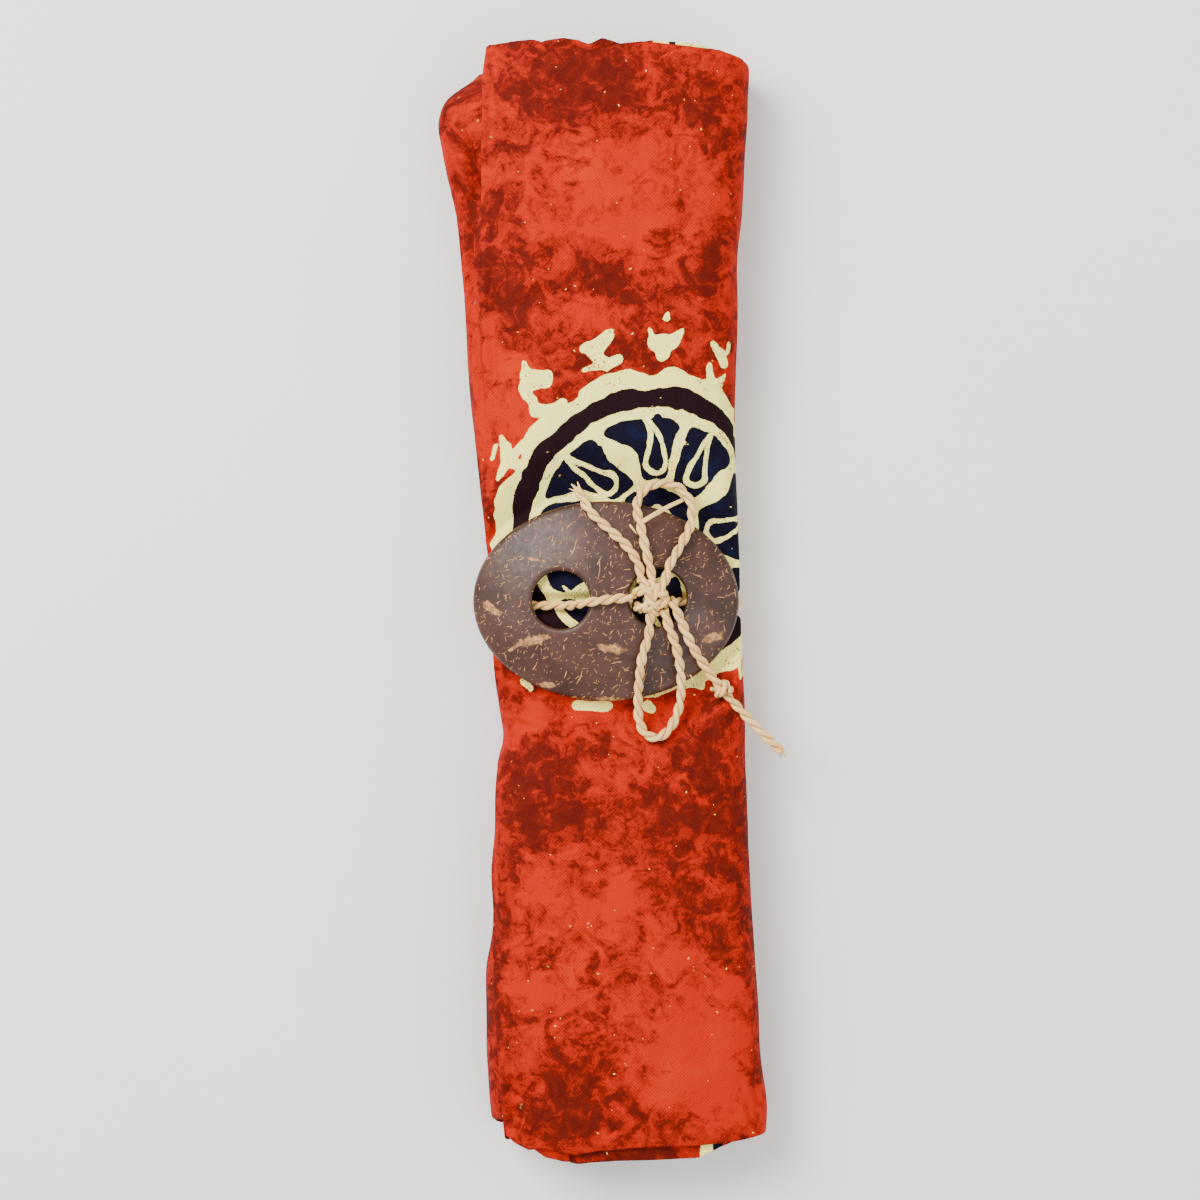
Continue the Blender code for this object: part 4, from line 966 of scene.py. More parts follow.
def shell_material(look):
    """Polished coconut shell: mottled brown with patches of painted grey sheen, short pale fibres and some
    bare patches.
    """
    n = Nodes("polished_coconut_shell")
    place = n.place()
    small = n.noise(place, 520.0, 6.0, 0.65)
    base = n.mix(n.span(n.noise(place, 70.0, 5.0, 0.6, 0.5), 0.34, 0.62), look.shell_dark, look.shell_light)
    # Patches of painted grey sheen, scattered by noise
    base = n.mix(n.span(n.noise(place, 40.0, 2.0), 0.50, 0.68, 0.0, 0.75), base, look.shell_sheen_grey)
    base = n.mix(n.span(small, 0.42, 0.75, 0.0, 0.45), base, look.shell_dark)
    bent = n.bent(place, 120.0, 3.5 * MM)
    pale = 0.0
    for vector, *stroke in (
        (bent, 620.0, 0.45 * MM, 0.08 * MM, 0.72, -0.9, 1.6),
        (bent, 330.0, 0.85 * MM, 0.10 * MM, 0.66, -0.9, 2.4),
        (n.mapped(bent, turn=1.1), 420.0, 0.6 * MM, 0.1 * MM, 0.80, 0.2, 3.0),
        (n.mapped(bent, turn=0.4), 900.0, 0.16 * MM, 0.09 * MM, 0.72, 0.0, 6.0),
        (bent, 120.0, 2.1 * MM, 0.13 * MM, 0.72, -1.0, 1.4),
    ):
        pale = n.maths("MAXIMUM", pale, n.fleck(vector, *stroke))
    ragged = n.times(n.off(small), 2.4)
    for x, y, half_length, half_width, turn in PATCH_ROWS_MM:
        moved = n.vector("SUBTRACT", bent, ((x + 0.9) * MM, (y + 0.5) * MM, 0.0))[0]
        turned = n.mapped(moved, (1.0, 1.0, 0.0), -turn)
        shrunk = n.mapped(turned, (1.0 / (half_length * MM), 1.0 / (half_width * MM), 0.0))
        reach = n.plus(n.vector("LENGTH", shrunk)[1], ragged)
        pale = n.maths("MAXIMUM", pale, n.span(reach, 0.95, 0.55, 0.0, 0.9))
    tan = n.mix(n.span(n.noise(place, 700.0, 3.0, 0.6), 0.35, 0.65), look.fibre_tan, look.fibre_pale)
    roughness = n.plus(n.span(small, 0.3, 0.7, 0.42, 0.56), n.times(pale, 0.2))
    height = n.maths("SUBTRACT", n.times(small, 0.35), n.times(pale, 0.6))
    return n.finish(n.mix(pale, base, tan), roughness, 0.30, n.bump(height, 0.35, 0.3 * MM),
                    **{"Coat Weight": 0.06, "Coat Roughness": 0.30})


def cord_material(look, name="palm_cord_strands"):
    """Dry palm fibre: pale straw with long darker and lighter fibres along each ply, and painted shade
    between the plies.
    """
    n = Nodes(name)
    fibres = n.noise(n.mapped(n.uv(), (1.0, 14.0, 1.0)), 260.0, 5.0, 0.62)
    colour = n.mix(n.span(fibres, 0.30, 0.72), look.straw_shade, look.straw)
    tone = n.times(n.span(n.noise(n.place(), 170.0), 0.45, 0.75), 0.45)
    colour = n.mix(tone, colour, look.straw_pale)
    # Painted shade between the plies: darker towards the cord's middle
    colour = n.mix(n.span(n.field("groove"), 0.0, 1.0, 0.55, 0.0), colour, look.straw_ply_shade)
    return n.finish(colour, n.span(fibres, 0.2, 0.8, 0.55, 0.78), 0.3, n.bump(fibres, 0.6, 0.2 * MM),
                    **{"Sheen Weight": 0.05})


# --- Cloth pieces ---

def spaced(*parts):
    """Even places in each part from low to high, about a step apart, with the last one's end."""
    places = [np.linspace(low, high, max(1, int(round((high - low) / step))), endpoint=False)
              for low, high, step in parts]
    return np.concatenate((*places, [parts[-1][1]]))


def rim_bulge(part):
    """How far a folded rim stands out across its thickness: two round lips, one to each fold."""
    lips = 0.25 + 0.35 * np.abs(np.sin(2.0 * math.pi * part)) ** 0.7
    return lips * MM * np.sin(math.pi * part) ** 0.25


def cloth_shell(counts, rows_mm, ends, depth_at, seed):
    """One turn as a thin shell: its outer face, rolled over at the ends and the free edge.

    counts say how far round each column lies and rows_mm how far along each row. Past the
    face the rows and columns go over the rim, where part rises from 0 to 1 across the wall,
    and a little way back inside. Returns the points, the map, and in millimetres the places
    on the unrolled cloth, with part.
    """
    part = np.linspace(0.0, 1.0, RIM_STEPS + 2)
    back_mm, back = np.array(RIM_BACK_MM), np.array(RIM_BACK_TURNS)
    rows = np.concatenate((rows_mm[0] + back_mm[::-1], np.full(RIM_STEPS, rows_mm[0]), rows_mm,
                           np.full(RIM_STEPS, rows_mm[-1]), rows_mm[-1] - back_mm))
    row_part = np.concatenate((np.ones(3), part[-2:0:-1], np.zeros(len(rows_mm)), part[1:-1], np.ones(3)))
    row_side = np.where(np.arange(len(rows)) < len(rows) // 2, -1.0, 1.0)
    columns = np.concatenate((counts[0] + back[::-1], np.full(RIM_STEPS, counts[0]), counts))
    column_part = np.concatenate((np.ones(3), part[-2:0:-1], np.zeros(len(counts))))
    reach = np.full_like(columns, END_ZONE_STOP)
    far_share = columns + by_row("edge", reach)
    near_share = columns + by_row("edge", -reach)
    x_far, x_near = read_skin("x", far_share, reach), read_skin("x", near_share, -reach)
    far, near = end_lines(far_share, x_far, x_near, *ends)
    ragged = RIM_RAGGED * cloud(columns * 190.0, columns * 0.0 + seed, 5.0, seed)
    rows_m = rows[:, None] * MM
    stretch = smooth_step((np.abs(rows_m) - END_ZONE_START) / (END_ZONE_STOP - END_ZONE_START))
    along = rows_m + stretch * np.where(rows_m > 0.0, far - END_ZONE_STOP, near + END_ZONE_STOP)
    over_end = ((row_part > 0.0) & (row_part < 1.0))[:, None]
    lips = rim_bulge(row_part)[:, None] + ragged[None, :] * (row_part > 0.5)[:, None]
    along = along + np.where(over_end, lips * row_side[:, None], 0.0)
    count = np.broadcast_to(columns, along.shape)
    across_part = np.maximum(row_part[:, None], column_part[None, :])
    over_edge = ((column_part > 0.0) & (column_part < 1.0))[None, :]
    share = count + by_row("edge", along)
    share = share - np.where(over_edge, rim_bulge(column_part)[None, :] / ONE_TURN, 0.0)
    points = layer_point(share, along, depth_at(count, along) + across_part * WALL)
    around = (share - by_row("spine", along)) * by_row("round", along)
    uv = np.stack((around, along), axis=-1)
    return points, uv, around / MM + SPINE_X / MM, along / MM, across_part


def tint(name, description, *colour):
    """A colour that may be set in the sidebar."""
    return FloatVectorProperty(name=name, description=description, subtype="COLOR", default=colour)


class SarongLook(bpy.types.PropertyGroup):
    """Colours and sizes that may be changed before the pieces are made."""

    bright_dye: tint("Bright dye", "Brightest red of the cloth", 0.46, 0.011, 0.0)
    middle_dye: tint("Middle dye", "Middle red of the cloth", 0.33, 0.009, 0.001)
    dark_dye: tint("Dark dye", "Maroon of the cloth", 0.14, 0.0075, 0.003)
    deep_dye: tint("Deep dye", "Darkest edge of a dye cloud", 0.09, 0.0045, 0.002)
    orange_dye: tint("Orange dye", "Orange glow in the red", 0.52, 0.026, 0.0)
    cream: tint("Cream", "Cloth kept bare by wax", 1.0, 0.90, 0.24)
    cream_shade: tint("Cream shade", "Soiled part of the bare cloth", 0.9, 0.62, 0.13)
    wax_speck: tint("Wax speck", "Tan specks left by wax", 0.36, 0.17, 0.035)
    navy_ink: tint("Navy", "Dark blue of the petals", 0.0035, 0.0025, 0.0115)
    blue_ink: tint("Blue", "Lighter blue in the petals", 0.004, 0.008, 0.034)
    ring_ink: tint("Ring", "Maroon black of the ring", 0.0105, 0.002, 0.0042)
    thread_pitch: FloatProperty(name="Thread pitch", description="Distance between threads", unit="LENGTH",
                                default=0.46 * MM)
    shell_dark: tint("Shell dark", "Dark brown of the shell", 0.03, 0.01, 0.006)
    shell_light: tint("Shell light", "Light brown of the shell", 0.066, 0.025, 0.016)
    # Painted sheen: a lilac-grey colour laid in patches over the shell
    shell_sheen_grey: tint("Shell grey", "Grey bloom of the polished shell", 0.08, 0.046, 0.045)
    fibre_tan: tint("Fibre tan", "Tan fibres in the shell", 0.24, 0.105, 0.036)
    fibre_pale: tint("Fibre pale", "Pale fibres in the shell", 0.52, 0.27, 0.095)
    straw: tint("Straw", "Main colour of the cord", 0.95, 0.60, 0.20)
    straw_shade: tint("Straw shade", "Darker fibres of the cord", 0.62, 0.34, 0.105)
    straw_pale: tint("Straw pale", "Palest fibres of the cord", 1.0, 0.78, 0.34)
    # Painted shade between the plies of the cord
    straw_ply_shade: tint("Straw deep", "Between the plies of the cord", 0.22, 0.095, 0.03)
    lay_length: FloatProperty(name="Lay length", description="Cord to one round of a ply", unit="LENGTH",
                              default=7.4 * MM)
    ply_sides: IntProperty(name="Sides of a ply", description="Sides of each ply's section", default=12,
                           min=6, max=32)


class SARONG_OT_outer_turn(bpy.types.Operator):
    """The last turn of the bundle, with the medallion"""

    bl_idname = "sarong.outer_turn"
    bl_label = "Outer turn"

    def execute(self, context):
        counts = spaced((0.0, 0.50, 0.0030), (0.50, 0.93, 0.0072), (0.93, 1.097, 0.0050))
        rows = spaced((-144.0, -34.0, 1.35), (-34.0, -4.4, 0.62), (-4.4, 2.4, 0.4), (2.4, 76.0, 0.60),
                      (76.0, 144.0, 1.30))
        ends = (OUTER_FAR_MM, OUTER_NEAR_MM, OUTER_BACK_MM, OUTER_BACK_END)
        points, uv, across, along, part = cloth_shell(
            counts, rows, ends,
            lambda count, y: turn_depth(count, y) + groove_depth(y, GROOVE_DEPTH, GROOVE_HALF_WIDTH), 61)
        wax, ink = pattern_fields(across, along)
        # The rolled rims are darkened by painted shade: 0.25 times the share across the wall
        piece = add_piece("outer_cloth", points, grid_faces(*across.shape), uv,
                          batik_material("batik_rayon", context.scene.sarong_look), "outer_turn",
                          "red_batik_rayon", wax=wax, ink=ink, dye=dye_and_crease_shade(across, along) + 0.25 * part)
        mend(piece, outwards=True)
        return {"FINISHED"}


class SARONG_OT_second_turn(bpy.types.Operator):
    """The turn below, which shows at both ends"""

    bl_idname = "sarong.second_turn"
    bl_label = "Second turn"

    @staticmethod
    def depth(count, along):
        """Depth of the turn's outer face, pressed further in under the tie and at the left."""
        left_side = LEFT_SQUEEZE * smooth_step((count - 1.86) / 0.08)
        return turn_depth(count, along) + squeeze_depth(along) + left_side + LAYER_CLEARANCE

    def execute(self, context):
        counts = spaced((1.10, 1.95, 0.0052))
        rows = spaced((-144.0, -120.0, 0.9), (-120.0, 120.0, 3.0), (120.0, 144.0, 0.9))
        ends = (SECOND_FAR_MM, SECOND_NEAR_MM, SECOND_BACK_MM, SECOND_BACK_END)
        points, uv, across, along, part = cloth_shell(counts, rows, ends, self.depth, 71)
        # Cream and navy places that show at the two ends. The turn's dye is darker all over, with painted
        # shade on its rolled rims and more painted shade on its left part at the near end
        seen = across - by_row("round", along * MM) / MM
        cream_far, cream_near, navy_near, navy_far = (
            gain * (size - np.hypot((seen - x) / half_x, (along - y) / half_y))
            for gain, size, x, half_x, y, half_y in (
                (0.5, 5.5, 21.5, 1.5, 147.0, 0.7), (0.5, 2.0, 27.6, 0.9, -145.5, 2.6),
                (1.0, 1.5, 31.0, 1.0, -145.0, 2.2), (1.0, 1.2, 18.4, 0.8, 147.0, 2.2),
            )
        )
        navy = np.maximum(navy_near, navy_far)
        shaded = 0.35 * smooth_step((20.0 - seen) / 8.0) * (along < -143.0)
        piece = add_piece("second_cloth", points, grid_faces(*across.shape), uv,
                          batik_material("batik_rayon_inside", context.scene.sarong_look), "second_turn",
                          "dark_batik_rayon", wax=np.minimum(np.maximum(cream_far, cream_near), -navy),
                          ink=np.where(navy > 0.0, INKED, PLAIN),
                          dye=dye_and_crease_shade(across, along) + 0.15 + 0.25 * part + shaded)
        mend(piece, outwards=True)
        return {"FINISHED"}


class SARONG_OT_core(bpy.types.Operator):
    """The hidden turns, whose folds show layer by layer at the ends"""

    bl_idname = "sarong.core"
    bl_label = "Hidden turns"

    def execute(self, context):
        columns = 240
        angle = np.linspace(math.pi, -math.pi, columns + 1)[:-1]
        turn_share = np.linspace(0.0, 1.0, columns + 1)[:-1][None, :]
        body = spaced((-140.0, 140.0, 4.0)) * MM
        steps = np.linspace(0.0, CORE_LIPS, CORE_LIPS * 8 + 1)
        inward = np.concatenate((steps[::-1], np.zeros(len(body)), steps))[:, None] * CORE_LIP_PITCH
        base = np.concatenate((np.full(len(steps), -CORE_END), body, np.full(len(steps), CORE_END)))[:, None]
        # Both ends step inwards and round, as the lips of rolled layers, ragged and in groups
        is_cap = np.concatenate((np.ones(len(steps)), np.zeros(len(body)), np.ones(len(steps))))[:, None]
        side = np.where(base < 0.0, -1.0, 1.0)
        lip = inward / CORE_LIP_PITCH + 2.0 * turn_share
        number = np.floor(lip)
        ragged = cloud(number * 7.3 + 3.0, turn_share * 9.0 + side * 20.0 + 40.0, 1.0, 81)
        dome = np.sqrt(np.clip(1.0 - (2.0 * (lip - number) - 1.0) ** 2, 0.0, 1.0))
        group = 1.2 * cloud(lip * 0.45 + 9.0, turn_share * 3.0 + 30.0 + side, 1.0, 82)
        out = (1.5 * dome - 1.2 + 0.9 * ragged + group) * MM * smooth_step(inward / (0.5 * CORE_LIP_PITCH))
        corner = np.clip(np.cos(angle) - 0.55, 0.0, None)[None, :] * CORE_CORNER_SET_BACK
        along = base + is_cap * side * (out - corner)
        middle = np.broadcast_to(base, lip.shape)
        shrink = CORE_DEPTH + squeeze_depth(middle) * CORE_SQUEEZE + inward
        side_shrink = CORE_SIDE_SQUEEZE * np.exp(-(middle / SQUEEZE_HALF_WIDTH) ** 4)
        left = PITCH + LEFT_SQUEEZE + CORE_LEFT_SQUEEZE
        x, z = section_point(middle, np.broadcast_to(angle, lip.shape), shrink, left, side_shrink)
        middle_z = station("thick", middle) / 2.0 - 0.4 * MM
        upper, lower = np.maximum(z, middle_z + 0.1 * MM), np.minimum(z, middle_z - 0.1 * MM)
        z = np.where(np.sin(angle) > 0.0, upper, lower)
        uv = np.stack((np.broadcast_to(turn_share * 0.17, lip.shape), along + inward), axis=-1)
        tone = cloud(number * 3.1, turn_share * 6.0 + side * 11.0 + 30.0, 1.0, 83)
        # The hidden turns are darker all over, with painted shade in the hollows between the lips and a
        # random tone from lip to lip
        piece = add_piece("core_cloth", np.stack((x, along, z), axis=-1),
                          grid_faces(*lip.shape, closed=True), uv,
                          batik_material("batik_rayon_folds", context.scene.sarong_look), "folded_core",
                          "dark_batik_rayon", wax=np.where(tone > 0.42, 1.0, -1.0) * is_cap,
                          ink=np.where(tone < -0.55, INKED, PLAIN),
                          dye=0.75 + 0.5 * (1.0 - dome) + 0.3 * ragged)
        mend(piece, close=True, outwards=True)
        return {"FINISHED"}


# --- The buckle ---

def half_plate(centre, middle_x, sign):
    """Places in plan over one half of the buckle, between its hole and its outline.

    Rows go from the hole's edge to the half's border: the oval, then the line x = middle_x.
    """
    meet = math.acos((middle_x - SHELL_X) / SHELL_HALF_LENGTH)
    oval = np.linspace(meet, 2.0 * math.pi - meet, 150) if sign < 0 else np.linspace(-meet, meet, 150)
    oval_y = SHELL_Y + SHELL_HALF_WIDTH * np.sin(oval)
    line_y = np.linspace(oval_y[-1], oval_y[0], 42)[1:-1]
    border_x = np.concatenate((SHELL_X + SHELL_HALF_LENGTH * np.cos(oval), np.full(len(line_y), middle_x)))
    border_y = np.concatenate((oval_y, line_y))
    turn = np.arctan2(border_y - centre[1], border_x - centre[0])
    hole_x = centre[0] + HOLE_RADIUS * np.cos(turn)
    hole_y = centre[1] + HOLE_RADIUS * np.sin(turn)
    share = (0.5 - 0.5 * np.cos(np.linspace(0.0, math.pi, 26)))[:, None]
    return hole_x + (border_x - hole_x) * share, hole_y + (border_y - hole_y) * share, len(oval)


def edge_drop(distance, radius):
    """How far a rounded edge falls at a distance inside it: a quarter circle's fall."""
    inside = np.clip(radius - distance, 0.0, radius)
    return radius - np.sqrt(np.clip(radius ** 2 - inside ** 2, 0.0, None))


class SARONG_OT_buckle(bpy.types.Operator):
    """The coconut-shell buckle with its two holes"""

    bl_idname = "sarong.buckle"
    bl_label = "Shell buckle"

    def execute(self, context):
        # Each half is a plate round its own hole, and the two are welded between the holes
        middle_x = (HOLE_LEFT[0] + HOLE_RIGHT[0]) / 2.0
        blocks = []
        for centre, sign in ((HOLE_LEFT, -1), (HOLE_RIGHT, 1)):
            x, y, oval = half_plate(centre, middle_x, sign)
            rows, columns = x.shape
            fraction = np.hypot((x - SHELL_X) / SHELL_HALF_LENGTH, (y - SHELL_Y) / SHELL_HALF_WIDTH)
            slope = np.hypot((x - SHELL_X) / SHELL_HALF_LENGTH ** 2, (y - SHELL_Y) / SHELL_HALF_WIDTH ** 2)
            rim = (1.0 - fraction) * fraction / np.maximum(slope, 1e-9)
            to_left, to_right = (np.hypot(x - hole[0], y - hole[1]) for hole in (HOLE_LEFT, HOLE_RIGHT))
            inside = np.clip(np.minimum(rim, np.minimum(to_left, to_right) - HOLE_RADIUS), 0.0, None)
            uneven = 0.10 * MM * cloud(x / MM, y / MM, 11.0, 91)
            face = shell_underside(x, y)
            top = face + SHELL_THICKNESS - edge_drop(inside, 1.1 * MM)
            top = top + uneven * smooth_step(inside / (3.0 * MM))
            heights = np.stack((top, face + edge_drop(inside, 0.9 * MM)))
            plan = np.broadcast_to(np.stack((x, y)), (2, 2, rows, columns))
            points = np.stack((plan[:, 0], plan[:, 1], heights), axis=-1).reshape(-1, 3)
            under = rows * columns
            upper = grid_faces(rows, columns, closed=True)
            ring = np.arange(columns)
            following = (ring + 1) % columns
            hole_wall = np.stack((ring, following, following + under, ring + under), axis=-1)
            outer = np.arange(oval - 1) + (rows - 1) * columns
            rim_wall = np.stack((outer + 1, outer, outer + under, outer + 1 + under), axis=-1)
            blocks.append((points, np.concatenate((upper, upper[:, ::-1] + under, hole_wall, rim_wall))))
        piece = add_piece("coconut_buckle", *joined(blocks), None, shell_material(context.scene.sarong_look),
                          "shell_buckle", "coconut_shell")
        mend(piece, weld=True, outwards=True)
        return {"FINISHED"}


# --- The cord ---

def route_points(route_mm, count=CURVE_STEPS):
    """Points at even steps along a smooth curve through a cord's own points."""
    route = np.array(route_mm) * MM
    knots = np.concatenate(([0.0], np.cumsum(np.linalg.norm(np.diff(route, axis=0), axis=1))))
    fine = np.linspace(0.0, knots[-1], CURVE_STEPS)
    curve = np.stack([smooth_curve(fine, knots, route[:, k]) for k in range(3)], axis=-1)
    length = np.concatenate(([0.0], np.cumsum(np.linalg.norm(np.diff(curve, axis=0), axis=1))))
    places = np.linspace(0.0, length[-1], count)
    return np.stack([np.interp(places, length, curve[:, k]) for k in range(3)], axis=-1), length[-1]


def frames_along(points):
    """Directions along a path, and two across it that turn no more than the path does."""
    tangent = np.gradient(points, axis=0)
    tangent /= np.linalg.norm(tangent, axis=1, keepdims=True)
    side = np.cross(tangent[0], (0.0, 0.0, 1.0))
    if np.linalg.norm(side) < 0.1:
        side = np.cross(tangent[0], (0.0, 1.0, 0.0))
    side /= np.linalg.norm(side)
    sides = [side]
    for direction in tangent[1:]:
        side = side - direction * np.dot(side, direction)
        side = side / np.linalg.norm(side)
        sides.append(side)
    first = np.array(sides)
    return tangent, first, np.cross(tangent, first)


def tube_grid(points, first, second, radius, sides):
    """Rings round a path: point + radius * (cos * first + sin * second)."""
    turn = np.linspace(0.0, 2.0 * math.pi, sides, endpoint=False)[None, :, None]
    radius = np.broadcast_to(np.asarray(radius, dtype=float), (len(points),))[:, None, None]
    outward = np.cos(turn) * first[:, None, :] + np.sin(turn) * second[:, None, :]
    return points[:, None, :] + radius * outward


def tube_block(grid, map_u, map_v, groove):
    """A tube's points, faces, map and groove depth, from the points of its rings; the groove depth sets the
    painted shade between the plies.
    """
    shape = grid.shape[:2]
    uv = np.stack((np.broadcast_to(map_u, shape), np.broadcast_to(map_v, shape)), axis=-1)
    return (grid.reshape(-1, 3), grid_faces(*shape, closed=True), uv.reshape(-1, 2),
            np.broadcast_to(groove, shape).ravel())


def laid_cord(route_mm, look, radius, phase):
    """A cord of two plies laid round each other: each ply's middle goes round the path.

    Returns a block for each ply, the path and its length.
    """
    _, length = route_points(route_mm, 4)
    count = int(length / CORD_STEP) + 2
    path, length = route_points(route_mm, count)
    _, first, second = frames_along(path)
    along = np.linspace(0.0, length, count)
    lay = look.lay_length * (1.0 + 0.10 * cloud(along / MM + phase * 9.0, along * 0.0 + 5.0, 9.0, 101))
    turned = phase + np.concatenate(([0.0], np.cumsum(2.0 * math.pi / lay[1:] * np.diff(along))))
    swell = 1.0 + 0.06 * cloud(along / MM + phase * 31.0, along * 0.0 + 9.0, 4.0, 102)
    ply_radius = radius * PLY_SIZE
    fibres = np.linspace(0.0, 2.0 * math.pi, look.ply_sides, endpoint=False)
    spun = fibres[None, :] + along[:, None] / look.lay_length * FIBRE_LEAN
    blocks = []
    for ply in range(PLIES):
        spin = -turned + ply * 2.0 * math.pi / PLIES
        outward = np.cos(spin)[:, None] * first + np.sin(spin)[:, None] * second
        middle = path + outward * (radius * PLY_OFFSET * swell)[:, None]
        run = frames_along(middle)[0]
        grid = tube_grid(middle, outward, np.cross(run, outward), ply_radius * swell, look.ply_sides)
        radial = np.linalg.norm(grid - path[:, None, :], axis=-1) / radius
        # Mask of the painted shade between the plies: 0 near the cord's middle, 1 on the outside
        groove = np.clip((radial - 0.45) / 0.45, 0.0, 1.0)
        blocks.append(tube_block(grid, along[:, None], spun * ply_radius + ply * 0.01, groove))
    return blocks, path, length


def add_strands(name, blocks, material, node=None):
    """One piece from blocks of tubes, with their ends closed."""
    points, faces, uv, groove = joined(blocks)
    piece = add_piece(name, points, faces, uv, material, node, "palm_cord", groove=groove)
    mend(piece, close=True)
    return piece


def fibre_block(route_mm, half_width, half_height, taper):
    """A loose fibre or flat straw: a tube of oval section along a short curve, thinner to its end."""
    path, length = route_points(route_mm, FIBRE_RINGS)
    _, first, second = frames_along(path)
    thin = 1.0 - taper * np.linspace(0.0, 1.0, FIBRE_RINGS)[:, None] ** 2
    grid = tube_grid(path, first * thin * half_width, second * thin * half_height, MM, FIBRE_SIDES)
    along = np.linspace(0.0, length, FIBRE_RINGS)[:, None]
    return tube_block(grid, along, np.linspace(0.0, 0.002, FIBRE_SIDES)[None, :], 1.0)


class SARONG_OT_tie(bpy.types.Operator):
    """The palm cord: the band round the bundle, the bow's loops and the two tails"""

    bl_idname = "sarong.tie"
    bl_label = "Tie and bow"

    def execute(self, context):
        look = context.scene.sarong_look
        material = cord_material(look)
        for name, route, node, far_end, phase in (
            ("cord_band", BAND_ROUTE_MM, "tie_band", None, 0.4),
            ("cord_loop_upper", LOOP_UPPER_ROUTE_MM, "bow_loop_upper", "object", 1.1),
            ("cord_loop_lower", LOOP_LOWER_ROUTE_MM, "bow_loop_lower", "object", 2.3),
            ("cord_tail_upper", TAIL_UPPER_ROUTE_MM, "tail_upper", "bare", 0.2),
            ("cord_tail_lower", TAIL_LOWER_ROUTE_MM, "tail_lower", "bare", 3.0),
        ):
            blocks, path, length = laid_cord(route, look, CORD_RADIUS, phase)
            piece = add_strands(name, blocks, material, node)
        return {"FINISHED"}


KNOT_ARCS_MM = (
    ((10.4, 4.6, 28), (10.6, 4.4, 30.2), (11.6, 2.2, 31.6), (12.8, -0.6, 31.6),
     (13.8, -2.8, 30.2), (14, -3.2, 28)),
    ((15.6, 4, 28), (15.4, 4, 30), (14.2, 2.2, 31.2), (12.2, -0.2, 31),
     (10.6, -2.2, 29.8), (10.4, -2.6, 27.9)),
    ((8.6, 1.2, 28.6), (9, 2, 30.4), (11.2, 2.6, 31.3), (13.4, 2, 31.3),
     (15.6, 1.4, 30.4), (16.6, 0.8, 28.6)),
    ((8.6, -1.6, 28), (9.6, -1.9, 29.6), (12, -1.9, 30.6), (14.6, -1.2, 30.4),
     (16.4, 0, 29), (16.8, 0.6, 27.6)),
    ((12.6, 4.6, 28.2), (12.9, 4.4, 29.9), (13.2, 2.4, 30.8), (13, 0, 30.2),
     (12.6, -2.6, 29.4), (12.4, -3.4, 28)),
)
# Loose fibres: their points, half width, half height, taper
FIBRE_RINGS = 14
FIBRE_SIDES = 8
FIBRE_ROWS_MM = (
    (((10, 20.2, 28.9), (13.5, 22.3, 28.6), (17, 24.3, 27.4), (21, 26.2, 26.2)), 0.62, 0.14, 0.2),
    (((7, 19.6, 29), (7.8, 18.6, 29.4), (8.8, 17.2, 29.3)), 0.28, 0.14, 0.6),
    (((-6.2, 27.8, 24.2), (-7, 29.2, 23.9), (-8.2, 30.4, 23.2)), 0.55, 0.35, 0.7),
    (((-6, 27.8, 24), (-6.2, 29.6, 23.6), (-6.6, 31, 23)), 0.45, 0.30, 0.7),
    (((-5.8, 27.6, 24.4), (-7.4, 28.6, 24.2), (-8.8, 29.2, 23.6)), 0.30, 0.20, 0.8),
    (((46.2, -39, 20.2), (47.5, -40.2, 19.8), (48.4, -41.4, 19.2)), 0.40, 0.26, 0.7),
    (((46.2, -39.2, 19.8), (47, -40.8, 19.4), (47.2, -42, 18.8)), 0.34, 0.22, 0.7),
    (((46.6, -38.8, 19.9), (48, -39.8, 19.8), (49, -40.2, 19.6)), 0.24, 0.16, 0.8),
    (((22.8, -19.6, 25.6), (23.6, -20.8, 25.8), (23.4, -22.4, 25.4)), 0.14, 0.10, 0.8),
    (((36, -29.6, 22.4), (37.6, -30, 22.8), (38.8, -31.2, 22.4)), 0.12, 0.10, 0.8),
)
TAIL_KNOT_CENTRE_MM = (31.4, -23.5, 22.95)
TAIL_KNOT_RUN = (0.66, -0.73, -0.17)
TAIL_KNOT_TURNS = 1.7
TAIL_KNOT_RADIUS = 1.75
TAIL_KNOT_PITCH = 1.8


def tail_knot_route():
    """A coil of the cord round the lower tail: centre + radius * (cos, sin) across + pitch along."""
    run = np.array(TAIL_KNOT_RUN) / np.linalg.norm(TAIL_KNOT_RUN)
    first = np.cross(run, (0.0, 0.0, 1.0))
    first /= np.linalg.norm(first)
    turn = np.linspace(0.0, 2.0 * math.pi * TAIL_KNOT_TURNS, 15)[:, None]
    shift = (turn / (2.0 * math.pi) - TAIL_KNOT_TURNS / 2.0) * TAIL_KNOT_PITCH
    across = TAIL_KNOT_RADIUS * (np.cos(turn) * first + np.sin(turn) * np.cross(run, first))
    return np.array(TAIL_KNOT_CENTRE_MM) + across + shift * run


class SARONG_OT_knot(bpy.types.Operator):
    """The bow's knot, wound from the same cord, with the small knot on the lower tail"""

    bl_idname = "sarong.knot"
    bl_label = "Knot"

    def execute(self, context):
        look = context.scene.sarong_look
        material = cord_material(look, "palm_cord_knot")
        arcs = [laid_cord(arc, look, CORD_RADIUS, 0.9 * number)[0] for number, arc in enumerate(KNOT_ARCS_MM)]
        add_strands("cord_knot", sum(arcs, []), material, "bow_knot")
        coil = laid_cord(tail_knot_route(), look, 0.8 * CORD_RADIUS, 0.3)[0]
        add_strands("cord_tail_knot", coil, material)
        add_strands("cord_fibres", [fibre_block(*row) for row in FIBRE_ROWS_MM], material)
        return {"FINISHED"}


# --- Stage ---

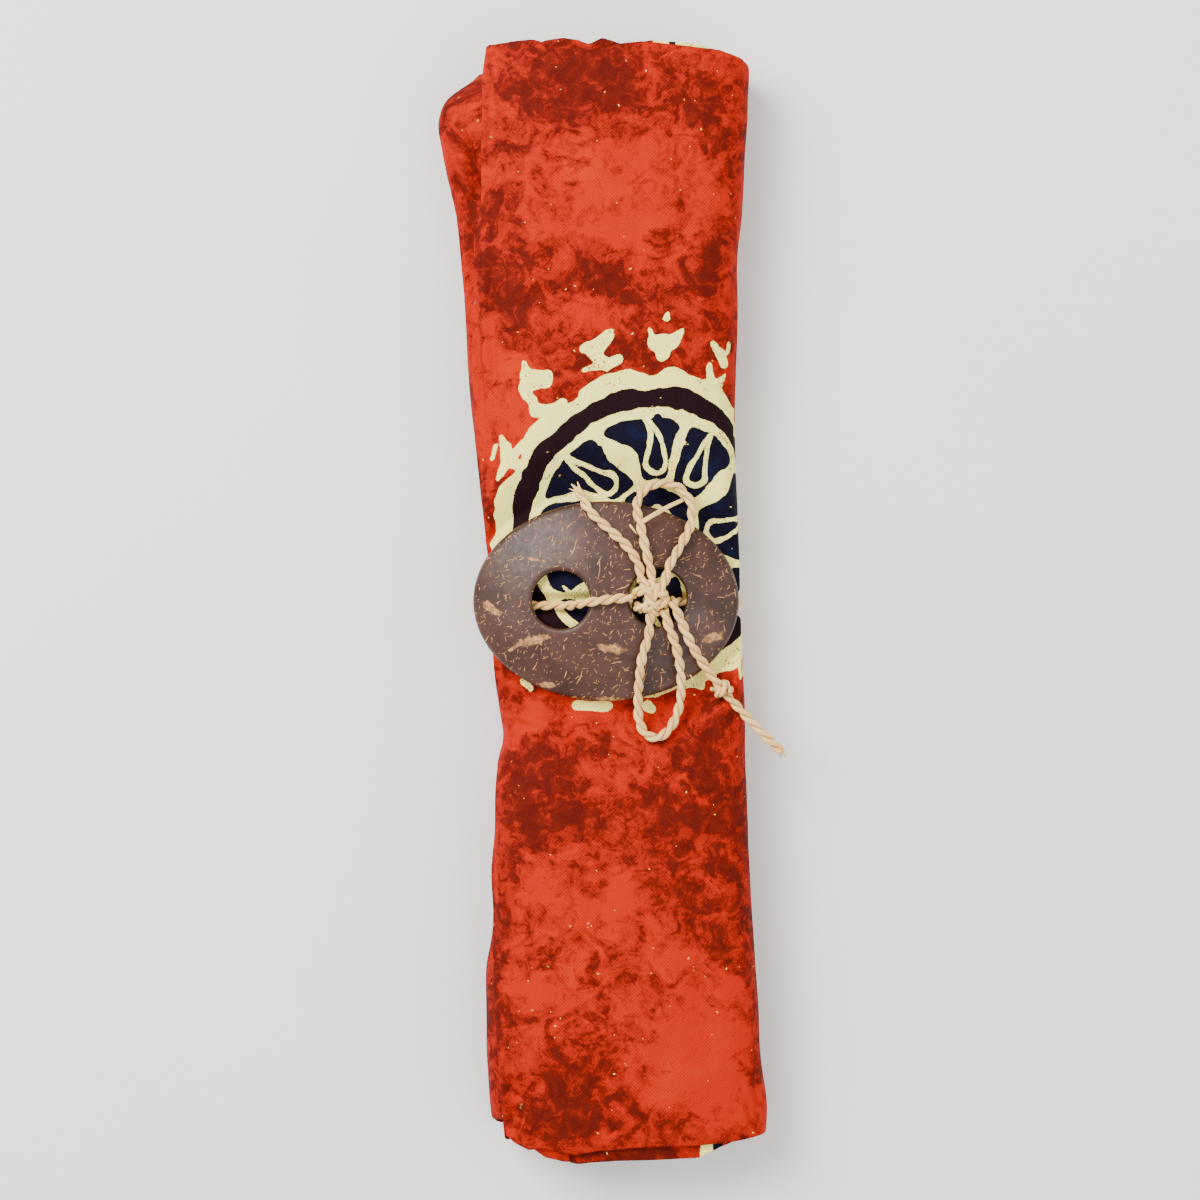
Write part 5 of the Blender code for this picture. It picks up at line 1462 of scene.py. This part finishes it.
class SARONG_OT_stage(bpy.types.Operator):
    """Camera straight above, a pale floor and soft studio light"""

    bl_idname = "sarong.stage"
    bl_label = "Stage"

    def execute(self, context):
        scene = context.scene
        camera_data = bpy.data.cameras.new("camera")
        camera_data.sensor_width = CAMERA_SENSOR_MM
        camera_data.lens = CAMERA_SENSOR_MM * CAMERA_DISTANCE / CAMERA_VIEW
        camera_data.clip_start = 0.01
        camera_data.clip_end = 20.0
        scene.camera = bpy.data.objects.new("camera", camera_data)
        x, y, z = CAMERA_TARGET
        scene.camera.location = (x, y, z + CAMERA_DISTANCE)
        scene.collection.objects.link(scene.camera)
        floor_data = bpy.data.meshes.new("floor")
        corners = [(FLOOR_REACH * side, FLOOR_REACH * end, 0.0)
                   for side, end in ((-1, -1), (1, -1), (1, 1), (-1, 1))]
        floor_data.from_pydata(corners, [], [(0, 1, 2, 3)])
        floor = bpy.data.objects.new("floor", floor_data)
        scene.collection.objects.link(floor)
        n = Nodes("pale_floor")
        colour = n.mix(n.noise(n.place(), 14.0), (0.80, 0.79, 0.77), (0.84, 0.83, 0.81))
        floor_data.materials.append(n.finish(colour, 0.9, 0.2))
        for name, place, size, power in LIGHT_ROWS:
            data = bpy.data.lights.new(name, "AREA")
            data.shape = "SQUARE"
            data.size = size
            data.energy = power
            lamp = bpy.data.objects.new(name, data)
            lamp.location = place
            away = np.array(place) - np.array(LIGHT_TARGET)
            tilt = math.acos(away[2] / np.linalg.norm(away))
            lamp.rotation_euler = (0.0, tilt, math.atan2(away[1], away[0]))
            scene.collection.objects.link(lamp)
        scene.world = bpy.data.worlds.new("studio")
        scene.world.use_nodes = True
        sky = scene.world.node_tree.nodes["Background"].inputs
        sky[0].default_value = SKY_COLOUR
        sky[1].default_value = SKY_POWER
        return {"FINISHED"}


class SARONG_PT_panel(bpy.types.Panel):
    """Lists the steps that dress the sarong"""

    bl_idname = "SARONG_PT_panel"
    bl_label = "Folded sarong"
    bl_space_type = "VIEW_3D"
    bl_region_type = "UI"
    bl_category = "Sarong"

    def draw(self, context):
        for operator in STEPS:
            self.layout.operator(operator.bl_idname)
        for name in SarongLook.__annotations__:
            self.layout.prop(context.scene.sarong_look, name)


STEPS = (
    SARONG_OT_stage,
    SARONG_OT_tie,
    SARONG_OT_knot,
    SARONG_OT_core,
    SARONG_OT_second_turn,
    SARONG_OT_outer_turn,
    SARONG_OT_buckle,
)
CLASSES = (SarongLook, *STEPS, SARONG_PT_panel)


def register():
    """Registers the classes and the look."""
    for item in CLASSES:
        bpy.utils.register_class(item)
    bpy.types.Scene.sarong_look = PointerProperty(type=SarongLook)


def unregister():
    """Removes the look and the classes."""
    del bpy.types.Scene.sarong_look
    for item in reversed(CLASSES):
        bpy.utils.unregister_class(item)


def main():
    register()
    bpy.ops.sarong.stage()
    bpy.ops.sarong.tie()
    bpy.ops.sarong.knot()
    bpy.ops.sarong.core()
    bpy.ops.sarong.second_turn()
    bpy.ops.sarong.outer_turn()
    bpy.ops.sarong.buckle()


if __name__ == "__main__":
    main()
